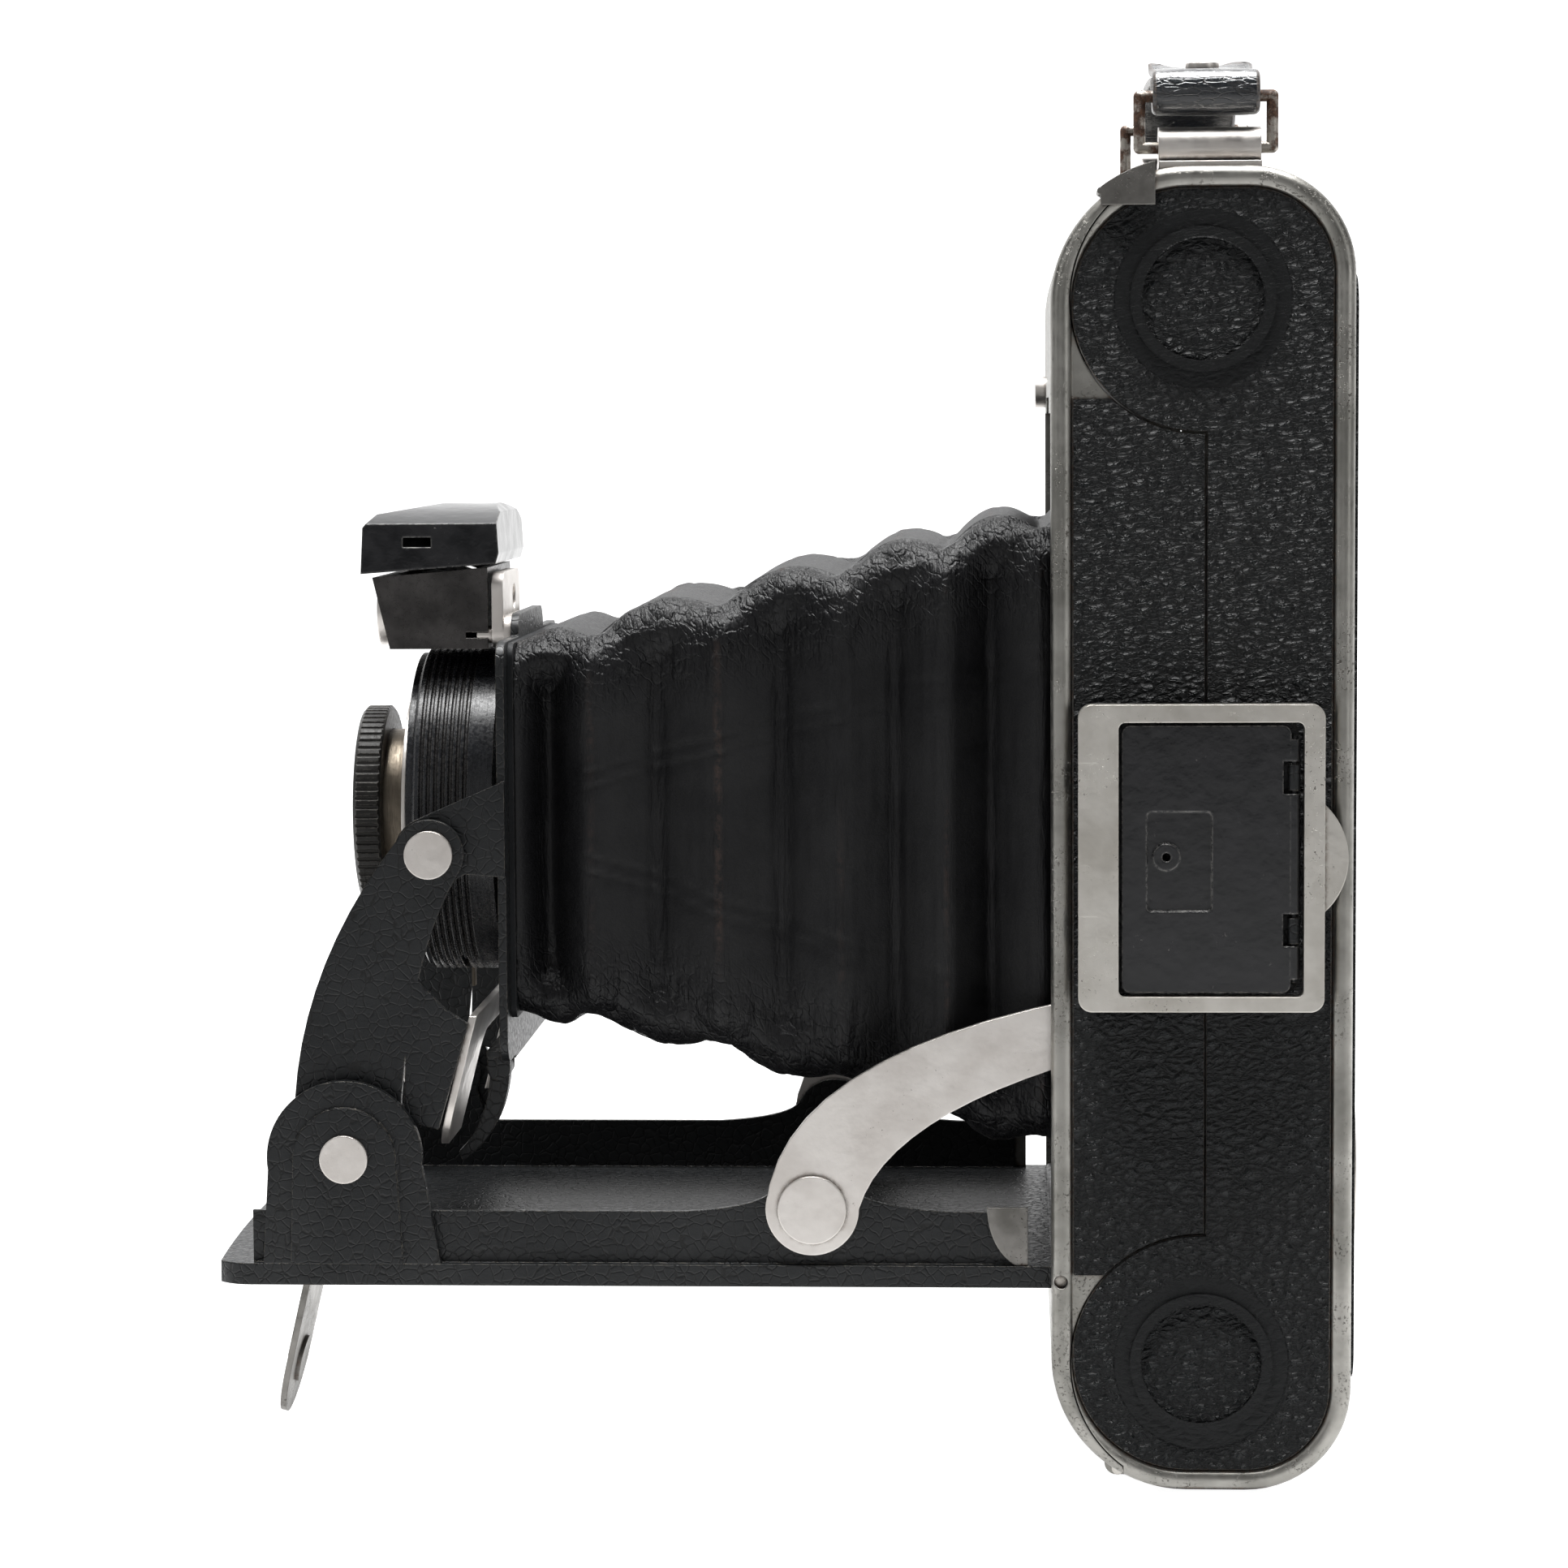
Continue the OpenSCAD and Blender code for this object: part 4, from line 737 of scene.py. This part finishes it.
def softbox(name, place, aim, width, height, power):
    data = bpy.data.lights.new(name, "AREA")
    data.shape = "RECTANGLE"
    data.size, data.size_y = width, height
    data.energy = power
    made = bpy.data.objects.new(name, data)
    made.location = place
    direction = np.array(aim) - np.array(place)
    made.rotation_euler = Euler((math.atan2(math.hypot(direction[0], direction[1]), -direction[2]), 0,
        math.atan2(direction[0], -direction[1]) + math.pi), "XYZ")
    bpy.context.scene.collection.objects.link(made)
    return made


TARGET = (-0.04, 0, 0.08)
softbox("left_softbox", (-1.05, -0.60, 0.50), TARGET, 0.5, 0.7, 0.8)
softbox("right_softbox", (0.95, -0.75, 0.40), TARGET, 0.5, 0.7, 1.7)
softbox("front_softbox", (-0.25, -1.30, 0.45), TARGET, 0.8, 0.6, 0.6)
softbox("top_softbox", (-0.05, 0.05, 1.05), TARGET, 0.8, 0.6, 28)


def studio_sweep():
    """A floor that curves up into a back wall."""
    profile = [(-2.2, 0.0), (0.8, 0.0)]
    for a in np.linspace(0, 90, 13)[1:]:
        profile.append((0.8 + 0.5 * math.sin(math.radians(a)), 0.5 - 0.5 * math.cos(math.radians(a))))
    profile.append((1.3, 2.4))
    points = [(x, y, z - 0.0002) for y, z in profile for x in (-2.6, 2.6)]
    faces = [(2 * i, 2 * i + 1, 2 * i + 3, 2 * i + 2) for i in range(len(profile) - 1)]
    data = bpy.data.meshes.new("studio_sweep")
    data.from_pydata(points, [], faces)
    data.shade_smooth()
    made = bpy.data.objects.new("studio_sweep", data)
    bpy.context.scene.collection.objects.link(made)
    g = Graph("studio_sweep_look")
    tone = g.noise(g.millimetres(), 0.004, 2.0)
    depth = g.node("ShaderNodeSeparateXYZ", {0: g.point}).outputs["Y"]
    behind = g.ramp(depth, -0.22, 0.02)
    g.set(Base_Color=g.mix(tone, (0.28, 0.28, 0.28), (0.30, 0.30, 0.30)), Roughness=0.9)
    g.set(Emission_Color=(1, 1, 1, 1), Emission_Strength=g.ramp(behind, 0.0, 1.0, 0.16, 1.0))
    made.data.materials.append(g.material)


studio_sweep()

world = bpy.data.worlds.new("studio")
world.use_nodes = True
world.node_tree.nodes["Background"].inputs[0].default_value = (1.0, 1.0, 1.0, 1)
world.node_tree.nodes["Background"].inputs[1].default_value = 0.10
bpy.context.scene.world = world
bpy.context.scene.view_settings.view_transform = "Standard"
